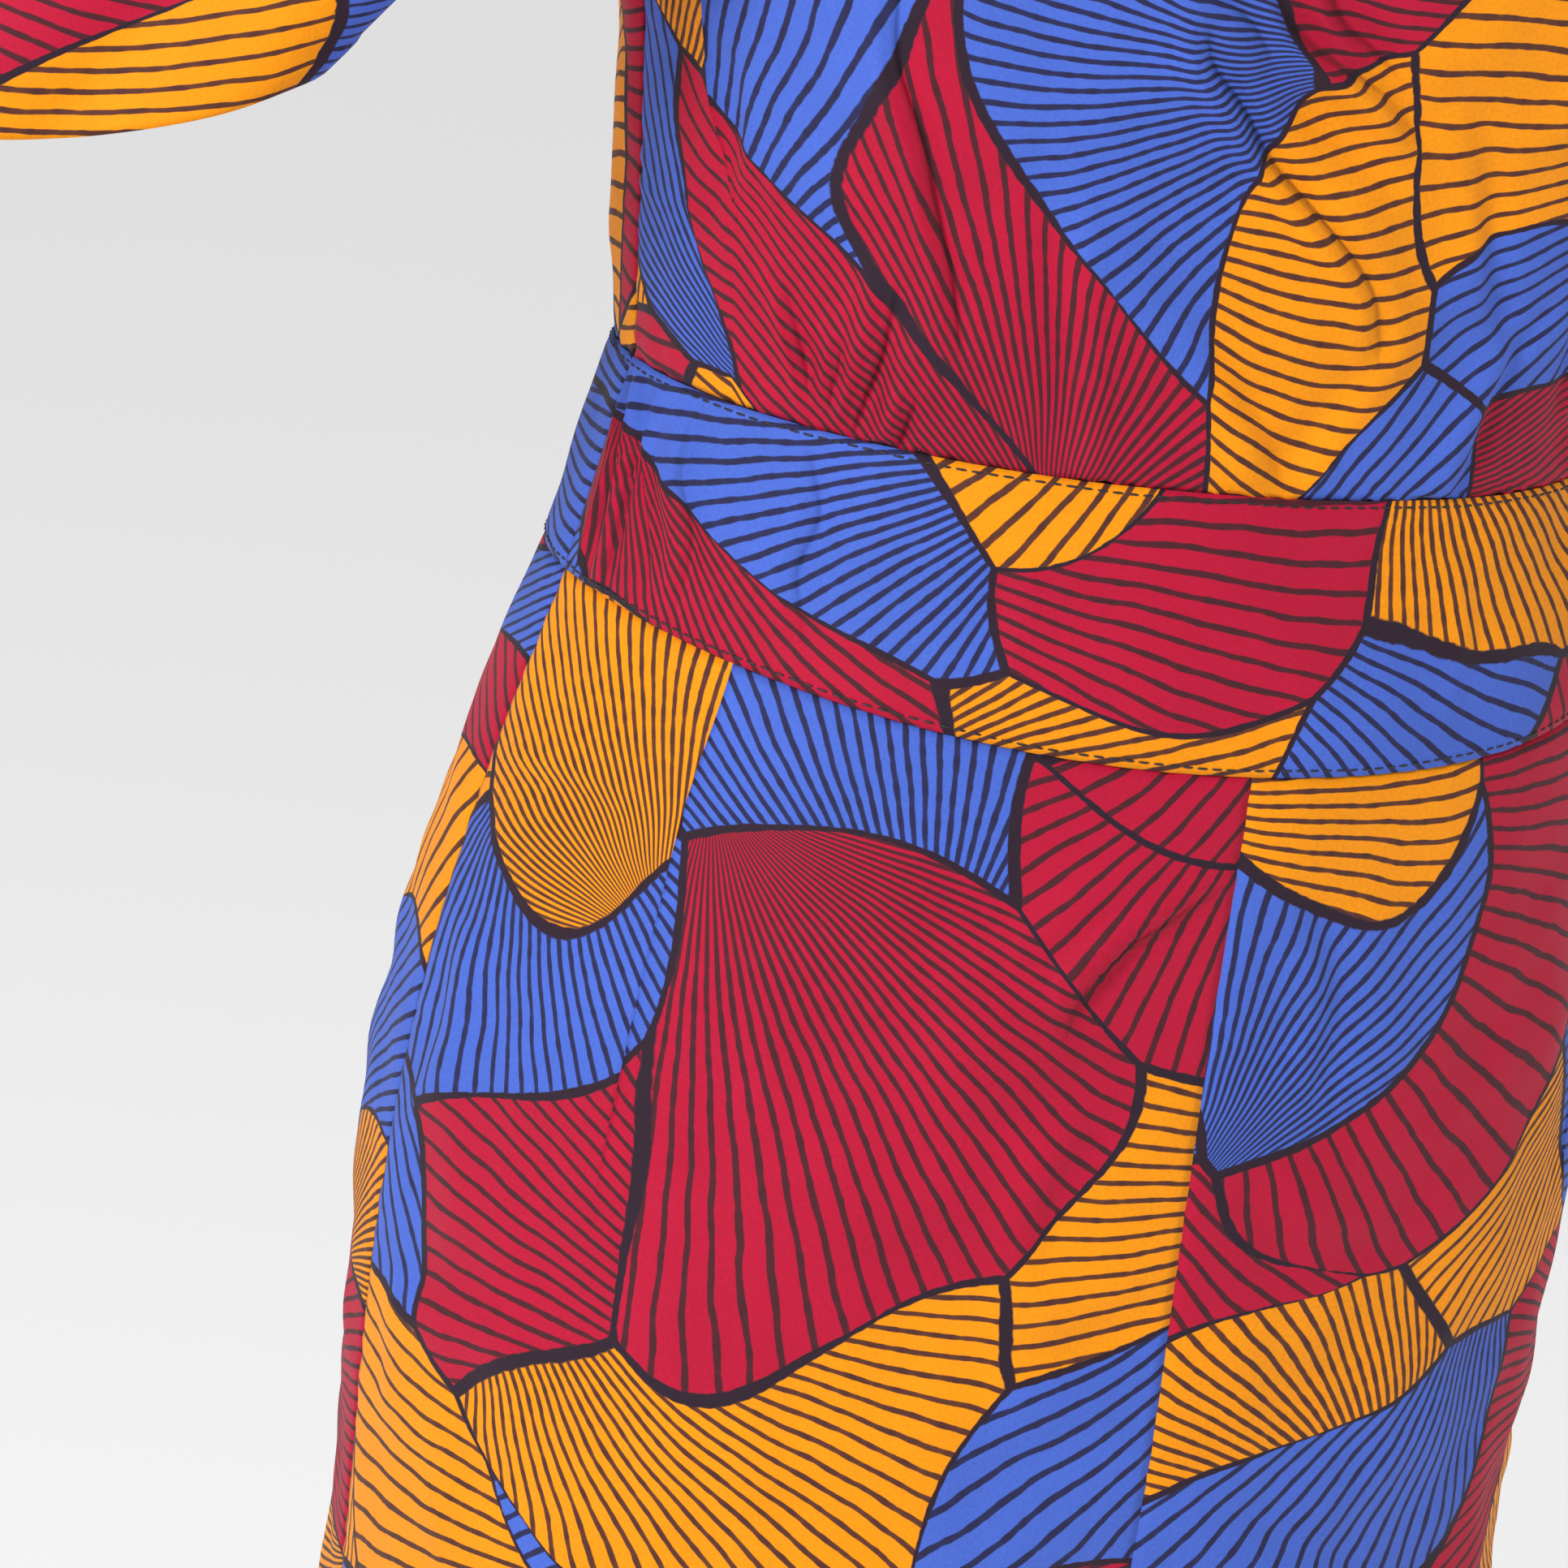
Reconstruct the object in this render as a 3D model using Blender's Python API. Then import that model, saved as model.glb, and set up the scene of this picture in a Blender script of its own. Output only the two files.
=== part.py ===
"""Off-shoulder jumpsuit in printed cotton, worn form, hollow.

Metres, +Z up, front towards -Y, the wearer's right towards -X. The origin is on the
middle of the body at the height of the side waist seam, where the waist holds it up.
Every panel is a wall of cloth through rows that run from a side seam to the centre.
"""
import bpy
import numpy as np

MM = 0.001

# Cloth and seams
WALL = 1.6 * MM
SEAM_GAP = 0.3 * MM

# How full a row is: the handles of a quarter of an oval, what half an oval adds to them,
# what a row between the two adds, and the handle of a shallow row across the yoke
QUARTER = 0.60
HALF_SIDE, HALF_MID = 0.74, 0.34
BETWEEN = 0.6
YOKE = 0.34

# How far down the leg panels' columns are evened out, how far from their ends that fades
# out, and over what share of the row it fades out towards the centre
EVEN_REACH, EVEN_END, EVEN_SHARE = 45 * MM, 60 * MM, 0.35

# Grid steps
FRONT_STEPS = 14
BACK_STEPS = 14
ARMHOLE_STEPS = 6
SLEEVE_TOP_STEPS = 24
SLEEVE_ROWS = 10

# Rows of the right half, downwards, in mm and degrees. A row leaves the side point by its
# turn, reaches its crest, and meets the centre line, which goes back between the legs.
ROW_COLUMNS = ("side_x", "side_y", "side_z", "side_turn", "mid_x", "mid_y", "mid_z",
               "crest", "steps")
FRONT_YOKE = (
    (-133, -86, 243, 20, 0, -99, 229, 13, ARMHOLE_STEPS),
)
FRONT_BODICE = (
    (-150, 2, 176, 90, 0, -100, 164, 102, 4),
    (-141, 1, 118, 90, 0, -97, 110, 98, 3),
    (-134, 0, 62, 90, 0, -95, 56, 95, 3),
    (-127, 0, 0, 90, 0, -94, -3, 94, 3),
)
FRONT_HIPS = (
    (-137, 0, -53, 90, 0, -108, -67, 108, 3),
    (-151, 2, -110, 90, 0, -110, -122, 112, 3),
    (-160, 4, -172, 90, 0, -114, -185, 118, 3),
    (-161, 8, -230, 91, 0, -118, -245, 126, 2),
    (-157, 14, -272, 93, 0, -118, -292, 132, 2),
    (-153, 20, -305, 95, 0, -104, -322, 144, 2),
    (-151, 23, -328, 96, 0, -66, -340, 144, 2),
    (-150, 25, -346, 97, 0, 10, -348, 140, 3),
    (-151, 25, -410, 97, -5, 10, -408, 134, 3),
    (-157, 22, -600, 96, -17, 8, -598, 119, 3),
    (-166, 19, -810, 96, -26, 6, -810, 114, 3),
    (-175, 18, -1035, 96, -32, 4, -1035, 114, 0),
)
BACK_YOKE = (
    (-138, 84, 246, 20, 0, 98, 236, 14, ARMHOLE_STEPS),
)
BACK_BODICE = (
    (-150, 2, 176, 90, 0, 96, 170, 94, 4),
    (-141, 1, 118, 122, 0, 95, 116, 94, 3),
    (-134, 0, 62, 104, 0, 91, 62, 91, 3),
    (-127, 0, 0, 90, 0, 88, 4, 88, 3),
)
BACK_HIPS = (
    (-137, 0, -53, 90, 0, 98, -46, 98, 3),
    (-151, 2, -110, 92, 0, 115, -108, 113, 3),
    (-160, 4, -172, 91, 0, 126, -176, 122, 3),
    (-161, 8, -230, 88, 0, 130, -238, 122, 2),
    (-157, 14, -272, 86, 0, 128, -288, 114, 2),
    (-153, 20, -305, 84, 0, 112, -322, 109, 2),
    (-151, 23, -328, 83, 0, 72, -340, 97, 2),
    (-150, 25, -346, 83, 0, 10, -348, 94, 3),
    (-151, 25, -410, 83, -5, 10, -408, 88, 3),
    (-157, 22, -600, 84, -17, 8, -598, 80, 3),
    (-166, 19, -810, 84, -26, 6, -810, 78, 3),
    (-175, 18, -1035, 84, -32, 4, -1035, 78, 0),
)

# Bust fullness that the front darts give, a general form
BUST_X, BUST_Z = 78 * MM, 158 * MM
BUST_WIDTH, BUST_HEIGHT, BUST_DEPTH = 52 * MM, 62 * MM, 20 * MM

# Largest folds, each a soft ridge or hollow from a start to an end on the front or the
# back, in mm. Depth is outwards.
FOLD_COLUMNS = ("start_x", "start_z", "end_x", "end_z", "width", "depth")
FOLD_EDGE = 0.06
FRONT_BODICE_FOLDS = (
    (-44, 118, 22, 40, 13, 2.6),
    (-22, 128, 34, 74, 12, -2.2),
    (-12, 136, 50, 84, 13, 2.4),
    (-34, 52, 12, 4, 12, -2.2),
    (-106, 96, -84, 22, 12, 2.4),
    (-99, 44, -100, 2, 9, -1.8),
    (58, 96, 88, 24, 13, 2.2),
    (104, 60, 92, 6, 11, -1.8),
)
BACK_BODICE_FOLDS = (
    (-118, 112, -92, 30, 14, 2.2),
    (-64, 108, -30, 34, 14, -1.8),
    (56, 104, 104, 40, 14, 2.2),
)
FRONT_LEG_FOLDS = (
    (-58, -136, 22, -66, 13, 2.4),
    (-96, -300, -22, -262, 14, 2.6),
    (96, -300, 26, -262, 14, 2.6),
    (-116, -392, -52, -366, 15, -2.0),
    (114, -396, 54, -368, 15, -2.0),
    (-126, -560, -58, -598, 18, 3.0),
    (122, -580, 60, -610, 18, 3.0),
    (-134, -900, -76, -936, 20, 2.6),
    (138, -886, 80, -930, 20, 2.6),
)
BACK_LEG_FOLDS = (
    (-108, -352, -44, -392, 15, 2.2),
    (108, -350, 46, -392, 15, 2.2),
    (-124, -570, -52, -552, 17, 3.0),
    (120, -556, 50, -540, 17, 3.0),
    (-130, -640, -60, -618, 17, -2.6),
    (128, -632, 62, -612, 17, -2.6),
    (-146, -930, -80, -910, 20, 2.6),
    (144, -922, 84, -906, 20, 2.6),
)

# Armholes, right side: the handles of the curves from the underarm to the neckline
FRONT_ARMHOLE_LOW = np.array((0, -48, 2)) * MM
FRONT_ARMHOLE_HIGH = np.array((-4, 6, -36)) * MM
BACK_ARMHOLE_LOW = np.array((0, 46, 4)) * MM
BACK_ARMHOLE_HIGH = np.array((-4, -6, -36)) * MM

# Right sleeve: the outer point of the neckline, and the hem round the arm
SLEEVE_OUTER = np.array((-214, 0, 262)) * MM
SLEEVE_TOP_HANDLE = 52 * MM
NECK_RISE = 0.1
ARM_X = -175 * MM
HEM_CENTRE = np.array((-278, 4, 101)) * MM
HEM_HALF_WIDTH, HEM_HALF_DEPTH = 82 * MM, 82 * MM
HEM_TILT_IN, HEM_TILT_BACK = 21 * MM, 42 * MM
HEM_WAVES, HEM_WAVE_DEPTH, HEM_WAVE_TURN = 6, 4 * MM, 1.0

# Gathers that the neck elastic draws up, and the casing round it
HALF_NECK_GATHERS = 13
GATHER_DEPTH, GATHER_FADE = 2.6 * MM, 45 * MM
CASING_PROFILE = ((0.9, 0.15), (1.7, 5), (1.3, 15), (-2.0, 15), (-2.5, 5), (-1.9, 0.15))

# Colours of the printed cotton
BLUE = (0.085, 0.17, 0.80, 1)
RED = (0.72, 0.010, 0.045, 1)
ORANGE = (1.0, 0.36, 0.0, 1)
COTTON_ROUGHNESS = 0.75


def table(*groups):
    """The rows of some tables as one array for each named column, in metres and radians."""
    rows = np.array([row for group in groups for row in group], float)
    columns = dict(zip(ROW_COLUMNS, rows.T))
    columns["side_turn"] = np.radians(columns["side_turn"])
    for name in ("side_x", "side_y", "side_z", "mid_x", "mid_y", "mid_z", "crest"):
        columns[name] = columns[name] * MM
    return columns


def levels(steps):
    """Row numbers with the asked count of steps from each row of the table to the next."""
    parts = [i + np.arange(int(n)) / n for i, n in enumerate(steps[:-1])]
    return np.append(np.concatenate(parts), len(steps) - 1)


def through(values, at):
    """A smooth curve through values at 0, 1, 2 and on, which never overshoots them."""
    step = np.diff(values)
    before, after = step[:-1], step[1:]
    even = before * after > 0
    total = np.where(even, before + after, 1)
    inner = np.where(even, 2 * before * after / total, 0)
    slope = np.concatenate([[step[0]], inner, [step[-1]]])
    i = np.clip(at.astype(int), 0, len(values) - 2)
    t = at - i
    rise = t * t * (3 - 2 * t)
    return (values[i] + step[i] * rise + slope[i] * t * (1 - t) ** 2
            - slope[i + 1] * t * t * (1 - t))


def bezier(start, handle_a, handle_b, end, t):
    """Points of a curve from start to end, drawn towards its two handles."""
    t = t[..., None]
    return (start * (1 - t) ** 3 + handle_a * 3 * t * (1 - t) ** 2
            + handle_b * 3 * t * t * (1 - t) + end * t ** 3)


def unit(vectors):
    return vectors / np.maximum(np.linalg.norm(vectors, axis=-1, keepdims=True), 1e-12)


def half_rows(side, mid, side_turn, crest, facing, steps):
    """Rows from the side points to the centre points, facing -1 on the front, 1 on the back.

    Each is one curve with two handles. Where the centre point lies at the crest, the row is
    a quarter of an oval, and where it lies back at the side's depth, it is half an oval.
    """
    across = np.abs(mid[:, 0] - side[:, 0])
    back = np.clip(1 - facing * (mid[:, 1] - side[:, 1]) / crest, 0, 1)
    between = BETWEEN * back * (1 - back)
    side_reach = crest * (QUARTER + HALF_SIDE * back + between) * np.sin(side_turn)
    side_reach += YOKE * across * np.cos(side_turn)
    depth = crest * (1 + HALF_MID * back + between)
    width = across * (YOKE + (QUARTER - YOKE) * np.sin(side_turn)) * (1 - back)
    flat = np.zeros_like(crest)
    leave = np.stack([np.cos(side_turn), facing * np.sin(side_turn), flat], axis=1)
    side_handle = side + leave * side_reach[:, None]
    mid_handle = np.stack([mid[:, 0] - width, side[:, 1] + facing * depth, mid[:, 2]], axis=1)
    u = np.linspace(0, 1, steps + 1)[None, :]
    return bezier(side[:, None], side_handle[:, None], mid_handle[:, None], mid[:, None], u)


def rows_of(columns, facing, steps):
    """The grid of a table's rows, from the right side seam to the centre."""
    at = levels(columns["steps"])
    c = {name: through(values, at) for name, values in columns.items()}
    side = np.stack([c["side_x"], c["side_y"], c["side_z"]], axis=1)
    mid = np.stack([c["mid_x"], c["mid_y"], c["mid_z"]], axis=1)
    return half_rows(side, mid, c["side_turn"], c["crest"], facing, steps)


def ease(t):
    t = np.clip(t, 0, 1)
    return t * t * (3 - 2 * t)


def evened(grid):
    """A leg panel whose columns are evened out downwards, so that the thigh runs on from the
    hips with no ledge. Its centre line and its ends stay."""
    step = np.linalg.norm(np.diff(grid, axis=0), axis=-1)
    down = np.concatenate([np.zeros((1, grid.shape[1])), np.cumsum(step, axis=0)])
    weight = np.exp(-((down[:, None] - down[None]) / EVEN_REACH) ** 2)
    weight *= np.gradient(down, axis=0)
    mean = (weight[..., None] * grid).sum(axis=1) / weight.sum(axis=1)[..., None]
    u = np.linspace(0, 1, grid.shape[1])
    share = ease(down / EVEN_END) * ease((down[-1] - down) / EVEN_END)
    share *= ease((1 - u) / EVEN_SHARE)
    return grid + (mean - grid) * share[..., None]


def armhole(under, top, low, high, steps):
    """The armhole's curve from the underarm point up to the neckline."""
    return bezier(under, under + low, top + high, top, np.linspace(0, 1, steps + 1))


def yoke_rows(yoke, bodice, low, high, facing, steps):
    """Rows above the underarm: the side point climbs the armhole, the centre rises."""
    c = table(yoke, bodice[:1])
    side = np.stack([c["side_x"], c["side_y"], c["side_z"]], axis=1)
    mid = np.stack([c["mid_x"], c["mid_y"], c["mid_z"]], axis=1)
    seam = armhole(side[1], side[0], low, high, ARMHOLE_STEPS)[::-1]
    t = np.linspace(0, 1, ARMHOLE_STEPS + 1)
    ease = t[:, None]
    centre = mid[0] * (1 - ease) + mid[1] * ease
    turn = c["side_turn"][0] + (c["side_turn"][1] - c["side_turn"][0]) * np.sqrt(t)
    crest = np.abs(centre[:, 1] - seam[:, 1])
    return half_rows(seam, centre, turn, crest, facing, steps)


def bodice_half(yoke, bodice, low, high, facing, steps):
    """The right half of the bodice, from the neckline down to the waist seam."""
    upper = yoke_rows(yoke, bodice, low, high, facing, steps)
    lower = rows_of(table(bodice), facing, steps)
    return np.concatenate([upper, lower[1:]])


def mirrored(grid):
    """The grid on the wearer's left, its columns from the centre to the side."""
    return (grid * np.array((-1, 1, 1)))[:, ::-1]


def whole(half):
    """A full-width panel from its right half."""
    return np.concatenate([half, mirrored(half)[:, 1:]], axis=1)


def with_bust(half):
    """Moves the front's right half forwards into a soft mound, nothing at the side seam."""
    x, z = half[..., 0], half[..., 2]
    u = np.linspace(0, 1, half.shape[1])
    rise = np.exp(-((z - BUST_Z) / BUST_HEIGHT) ** 2)
    mound = sum(np.exp(-((x - side * BUST_X) / BUST_WIDTH) ** 2) for side in (-1, 1))
    out = half.copy()
    out[..., 1] -= BUST_DEPTH * rise * mound * u * (2 - u)
    return out


def folded(grid, sign, folds):
    """Moves a panel out or in along its soft folds, nothing at its edges.

    A fold dies away on both sides of its line and past its ends, as a bell curve of the
    distance to the line, seen from the front.
    """
    rows = np.array(folds, float)
    c = dict(zip(FOLD_COLUMNS, rows.T * MM))
    start = np.stack([c["start_x"], c["start_z"]], axis=1)
    run = np.stack([c["end_x"], c["end_z"]], axis=1) - start
    away = grid[:, :, None, ::2] - start
    t = np.clip((away * run).sum(axis=-1) / (run * run).sum(axis=-1), 0, 1)
    distance = np.linalg.norm(away - t[..., None] * run, axis=-1)
    height = (c["depth"] * np.exp(-(distance / c["width"]) ** 2)).sum(axis=-1)
    u = np.linspace(0, 1, grid.shape[1])[None, :]
    v = np.linspace(0, 1, grid.shape[0])[:, None]
    edge = np.clip(u * (1 - u) / FOLD_EDGE, 0, 1) * np.clip(v * (1 - v) / FOLD_EDGE, 0, 1)
    return grid + outward(grid, sign) * (height * edge)[..., None]


def outward(grid, sign):
    """Unit normals of a grid from its central differences, turned by sign."""
    down = np.gradient(grid, axis=0, edge_order=2)
    across = np.gradient(grid, axis=1, edge_order=2)
    return sign * unit(np.cross(down, across))


def ring_outward(grid):
    """Unit normals of a grid whose last column joins its first, away from its middle."""
    down = np.gradient(grid, axis=0, edge_order=2)
    across = np.roll(grid, -1, axis=1) - np.roll(grid, 1, axis=1)
    normal = unit(np.cross(down, across))
    away = grid - grid.mean(axis=1, keepdims=True)
    return normal * np.sign((normal * away).sum())


def into(edge, following):
    """Unit directions from an edge towards the next line of points, square to the edge."""
    along = unit(np.gradient(edge, axis=0))
    step = following - edge
    return unit(step - along * (step * along).sum(axis=1, keepdims=True))


def inset(grid):
    """Draws a panel's four edges in by half the seam gap."""
    out, half = grid.copy(), SEAM_GAP / 2
    out[0] += half * into(grid[0], grid[1])
    out[-1] += half * into(grid[-1], grid[-2])
    out[:, 0] += half * into(grid[:, 0], grid[:, 1])
    out[:, -1] += half * into(grid[:, -1], grid[:, -2])
    return out


def quads(rows, columns, start, closed):
    """Faces of a grid of points, joined round at its end if closed."""
    r = np.arange(rows - 1)[:, None]
    c = np.arange(columns if closed else columns - 1)[None, :]
    right = (c + 1) % columns
    corners = (r * columns + c, r * columns + right, (r + 1) * columns + right,
               (r + 1) * columns + c)
    return start + np.stack([np.broadcast_to(k, (rows - 1, c.size)) for k in corners],
                            axis=-1).reshape(-1, 4)


def edge_strip(outer, inner):
    """Faces between two lines of points of equal length."""
    return np.stack([outer[:-1], inner[:-1], inner[1:], outer[1:]], axis=1)


def wall_mesh(name, grid, normal, closed=False):
    """A closed wall of cloth: the grid, the same grid moved in by WALL, and its rims."""
    rows, columns = grid.shape[:2]
    count = rows * columns
    number = np.arange(count).reshape(rows, columns)
    points = np.concatenate([grid.reshape(-1, 3), (grid - WALL * normal).reshape(-1, 3)])
    wrap = np.append(np.arange(columns), 0) if closed else np.arange(columns)
    rims = [number[0, wrap], number[-1, wrap][::-1]]
    if not closed:
        rims += [number[::-1, 0], number[:, -1]]
    faces = [quads(rows, columns, 0, closed),
             quads(rows, columns, count, closed)[:, (0, 3, 2, 1)]]
    faces += [edge_strip(rim, rim + count) for rim in rims]
    mesh = bpy.data.meshes.new(name)
    mesh.from_pydata(points.tolist(), [], np.concatenate(faces).tolist())
    mesh.validate()
    facing_out(mesh)
    mesh.shade_smooth()
    return mesh


def facing_out(mesh):
    """Flips a closed mesh whose faces point in, told by the sign of its volume."""
    volume = 0.0
    for polygon in mesh.polygons:
        first, *rest = (mesh.vertices[i].co for i in polygon.vertices)
        for a, b in zip(rest, rest[1:]):
            volume += first.dot(a.cross(b))
    if volume < 0:
        mesh.flip_normals()


def cotton(name, colour):
    """A plain cotton material for one piece, in one of the print's colours."""
    material = bpy.data.materials.new(name)
    material.use_nodes = True
    shader = material.node_tree.nodes["Principled BSDF"]
    shader.inputs["Base Color"].default_value = colour
    shader.inputs["Roughness"].default_value = COTTON_ROUGHNESS
    shader.inputs["Metallic"].default_value = 0.0
    return material


def add_piece(name, mesh, colour):
    piece = bpy.data.objects.new(name, mesh)
    piece.data.materials.append(cotton(name + "_cotton", colour))
    PIECES.objects.link(piece)
    return piece


def add_panel(name, grid, smooth, sign, colour):
    """One flat-cut panel as a wall, its edges drawn in for the seams.

    Smooth is the same panel without its gathers, for the wall's direction.
    """
    add_piece(name, wall_mesh(name, inset(grid), outward(smooth, sign)), colour)


def gather(points, along, below, away):
    """Small waves in and out that the neck elastic draws up, fading downwards.

    Along runs from 0 at the centre front to 1 at the centre back.
    """
    wave = np.cos(2 * np.pi * HALF_NECK_GATHERS * along)
    return points + away * (GATHER_DEPTH * wave * np.exp(-below / GATHER_FADE))[..., None]


def length_along(line):
    return np.concatenate([[0], np.cumsum(np.linalg.norm(np.diff(line, axis=0), axis=1))])


def flat_away(grid, centre_x):
    """Level unit directions away from an upright line."""
    away = grid - np.array((centre_x, 0, 0))
    away[..., 2] = 0
    return unit(away)


def over_the_arm(front, back):
    """The neckline over the arm, from the front armhole's top to the back one's."""
    t = np.linspace(0, 1, SLEEVE_TOP_STEPS // 2 + 1)
    reach = np.array((0, SLEEVE_TOP_HANDLE, 0))
    front_turn, back_turn = (np.radians(rows[0][3]) for rows in (FRONT_YOKE, BACK_YOKE))
    front_way = np.array((-np.cos(front_turn), np.sin(front_turn), NECK_RISE))
    back_way = np.array((-np.cos(back_turn), -np.sin(back_turn), NECK_RISE))
    to_outer = bezier(front, front + front_way * SLEEVE_TOP_HANDLE, SLEEVE_OUTER - reach,
                      SLEEVE_OUTER, t)
    to_back = bezier(SLEEVE_OUTER, SLEEVE_OUTER + reach,
                     back + back_way * SLEEVE_TOP_HANDLE, back, t)
    return np.concatenate([to_outer, to_back[1:]])


def sleeve_edge(front, arm, back):
    """The sleeve's upper edge: up the front armhole, over the arm, down the back one."""
    up = front[:ARMHOLE_STEPS + 1, 0][::-1]
    down = back[1:ARMHOLE_STEPS, 0]
    return np.concatenate([up, arm[1:], down])


def neck_gathered(grid, along):
    """A bodice panel with the neckline's gathers in it."""
    below = np.linalg.norm(grid - grid[:1], axis=-1)
    return gather(grid, along, below, flat_away(grid, 0))


def sleeve_hem(top):
    """The hem's ring, one point below each point of the upper edge.

    An oval round the arm, higher on the side of the body, with soft waves of flare.
    """
    middle = top.mean(axis=0)
    turn = np.arctan2(top[:, 1] - middle[1], top[:, 0] - middle[0])
    even = np.linspace(0, 2 * np.pi, len(top), endpoint=False)
    turn = 0.5 * np.unwrap(turn) + 0.5 * (turn[0] - even)
    wave = HEM_WAVE_DEPTH * np.cos(HEM_WAVES * turn + HEM_WAVE_TURN)
    return HEM_CENTRE + np.stack([(HEM_HALF_WIDTH + wave) * np.cos(turn),
                                  (HEM_HALF_DEPTH + wave) * np.sin(turn),
                                  HEM_TILT_IN * np.cos(turn) + HEM_TILT_BACK * np.sin(turn)],
                                 axis=1)


def sleeve_grid(top, gathered, hem):
    """Rows from the upper edge to the hem: down first, and out into the flare.

    The neckline's gathers fade on the way down.
    """
    t = np.linspace(0, 1, SLEEVE_ROWS + 1)[:, None, None]
    spread = t * (0.7 + 0.3 * t)
    level = np.array((0, 0, 1))
    plain = top + (hem - top) * (spread * (1 - level) + t * level)
    below = np.linalg.norm(plain - top, axis=-1, keepdims=True)
    return plain + (gathered - top) * np.exp(-below / GATHER_FADE)


def casing_mesh(line):
    """The ring of the neck casing: one profile carried round the neckline."""
    along = np.roll(line, -1, axis=0) - np.roll(line, 1, axis=0)
    away = unit(np.cross(along, np.array((0, 0, 1.0))))
    away *= np.sign((away * line).sum())
    profile = np.array(CASING_PROFILE) * MM
    ring = (line[:, None] + away[:, None] * profile[None, :, :1]
            + np.array((0, 0, 1.0)) * profile[None, :, 1:])
    faces = quads(len(line) + 1, len(profile), 0, True) % (len(line) * len(profile))
    mesh = bpy.data.meshes.new("neck_casing")
    mesh.from_pydata(ring.reshape(-1, 3).tolist(), [], faces.tolist())
    mesh.validate()
    facing_out(mesh)
    mesh.shade_smooth()
    return mesh


for old in list(bpy.data.objects):
    bpy.data.objects.remove(old)
PIECES = bpy.data.collections.new("off_shoulder_jumpsuit")
bpy.context.scene.collection.children.link(PIECES)

# Bodice, and the plain neckline from the centre front over the arm to the centre back
front_plain = with_bust(bodice_half(FRONT_YOKE, FRONT_BODICE, FRONT_ARMHOLE_LOW,
                                    FRONT_ARMHOLE_HIGH, -1, FRONT_STEPS))
back_plain = bodice_half(BACK_YOKE, BACK_BODICE, BACK_ARMHOLE_LOW, BACK_ARMHOLE_HIGH,
                         1, BACK_STEPS)
arm_plain = over_the_arm(front_plain[0, 0], back_plain[0, 0])
neckline = np.concatenate([front_plain[0, ::-1], arm_plain[1:-1], back_plain[0]])
along = length_along(neckline) / length_along(neckline)[-1]
arm_columns = slice(FRONT_STEPS, FRONT_STEPS + SLEEVE_TOP_STEPS + 1)

# The elastic's gathers, in the bodice and over the arm
front_half = neck_gathered(front_plain, along[:FRONT_STEPS + 1][::-1])
back_half = neck_gathered(back_plain, along[-BACK_STEPS - 1:])
arm_gathered = gather(arm_plain, along[arm_columns], 0.0, flat_away(arm_plain, ARM_X))
arm_gathered[0], arm_gathered[-1] = front_half[0, 0], back_half[0, 0]
for name, grid, smooth, sign, folds, colour in (
        ("bodice_front", whole(front_half), whole(front_plain), 1, FRONT_BODICE_FOLDS, BLUE),
        ("bodice_back_right", back_half, back_plain, -1, BACK_BODICE_FOLDS, RED),
        ("bodice_back_left", mirrored(back_half), mirrored(back_plain), -1,
         BACK_BODICE_FOLDS, RED)):
    add_panel(name, folded(grid, sign, folds), smooth, sign, colour)

# Waistband and trousers
front_lower = rows_of(table(FRONT_BODICE[-1:], FRONT_HIPS), -1, FRONT_STEPS)
back_lower = rows_of(table(BACK_BODICE[-1:], BACK_HIPS), 1, BACK_STEPS)
seam_row = FRONT_BODICE[-1][-1]
front_band, front_leg = front_lower[:seam_row + 1], evened(front_lower[seam_row:])
back_band, back_leg = back_lower[:seam_row + 1], evened(back_lower[seam_row:])
for name, grid, sign, colour in (
        ("waistband_front", whole(front_band), 1, ORANGE),
        ("waistband_back_right", back_band, -1, ORANGE),
        ("waistband_back_left", mirrored(back_band), -1, ORANGE),
        ("trouser_front_right", folded(front_leg, 1, FRONT_LEG_FOLDS), 1, RED),
        ("trouser_front_left", folded(mirrored(front_leg), 1, FRONT_LEG_FOLDS), 1, BLUE),
        ("trouser_back_right", folded(back_leg, -1, BACK_LEG_FOLDS), -1, BLUE),
        ("trouser_back_left", folded(mirrored(back_leg), -1, BACK_LEG_FOLDS), -1, ORANGE)):
    add_panel(name, grid, grid, sign, colour)

# Sleeves and the casing
top = sleeve_edge(front_plain, arm_plain, back_plain)
gathered_top = sleeve_edge(front_half, arm_gathered, back_half)
hem = sleeve_hem(top)
smooth_sleeve = sleeve_grid(top, top, hem)
sleeve = sleeve_grid(top, gathered_top, hem)
sleeve[0] += SEAM_GAP / 2 * into(sleeve[0], sleeve[1])
for name, grid, smooth in (("sleeve_right", sleeve, smooth_sleeve),
                           ("sleeve_left", mirrored(sleeve), mirrored(smooth_sleeve))):
    add_piece(name, wall_mesh(name, grid, ring_outward(smooth), closed=True), BLUE)
gathered_neck = np.concatenate([front_half[0, ::-1], arm_gathered[1:-1], back_half[0]])
other_side = (gathered_neck * np.array((-1, 1, 1)))[-2:0:-1]
add_piece("neck_casing", casing_mesh(np.concatenate([gathered_neck, other_side])), ORANGE)
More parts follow.
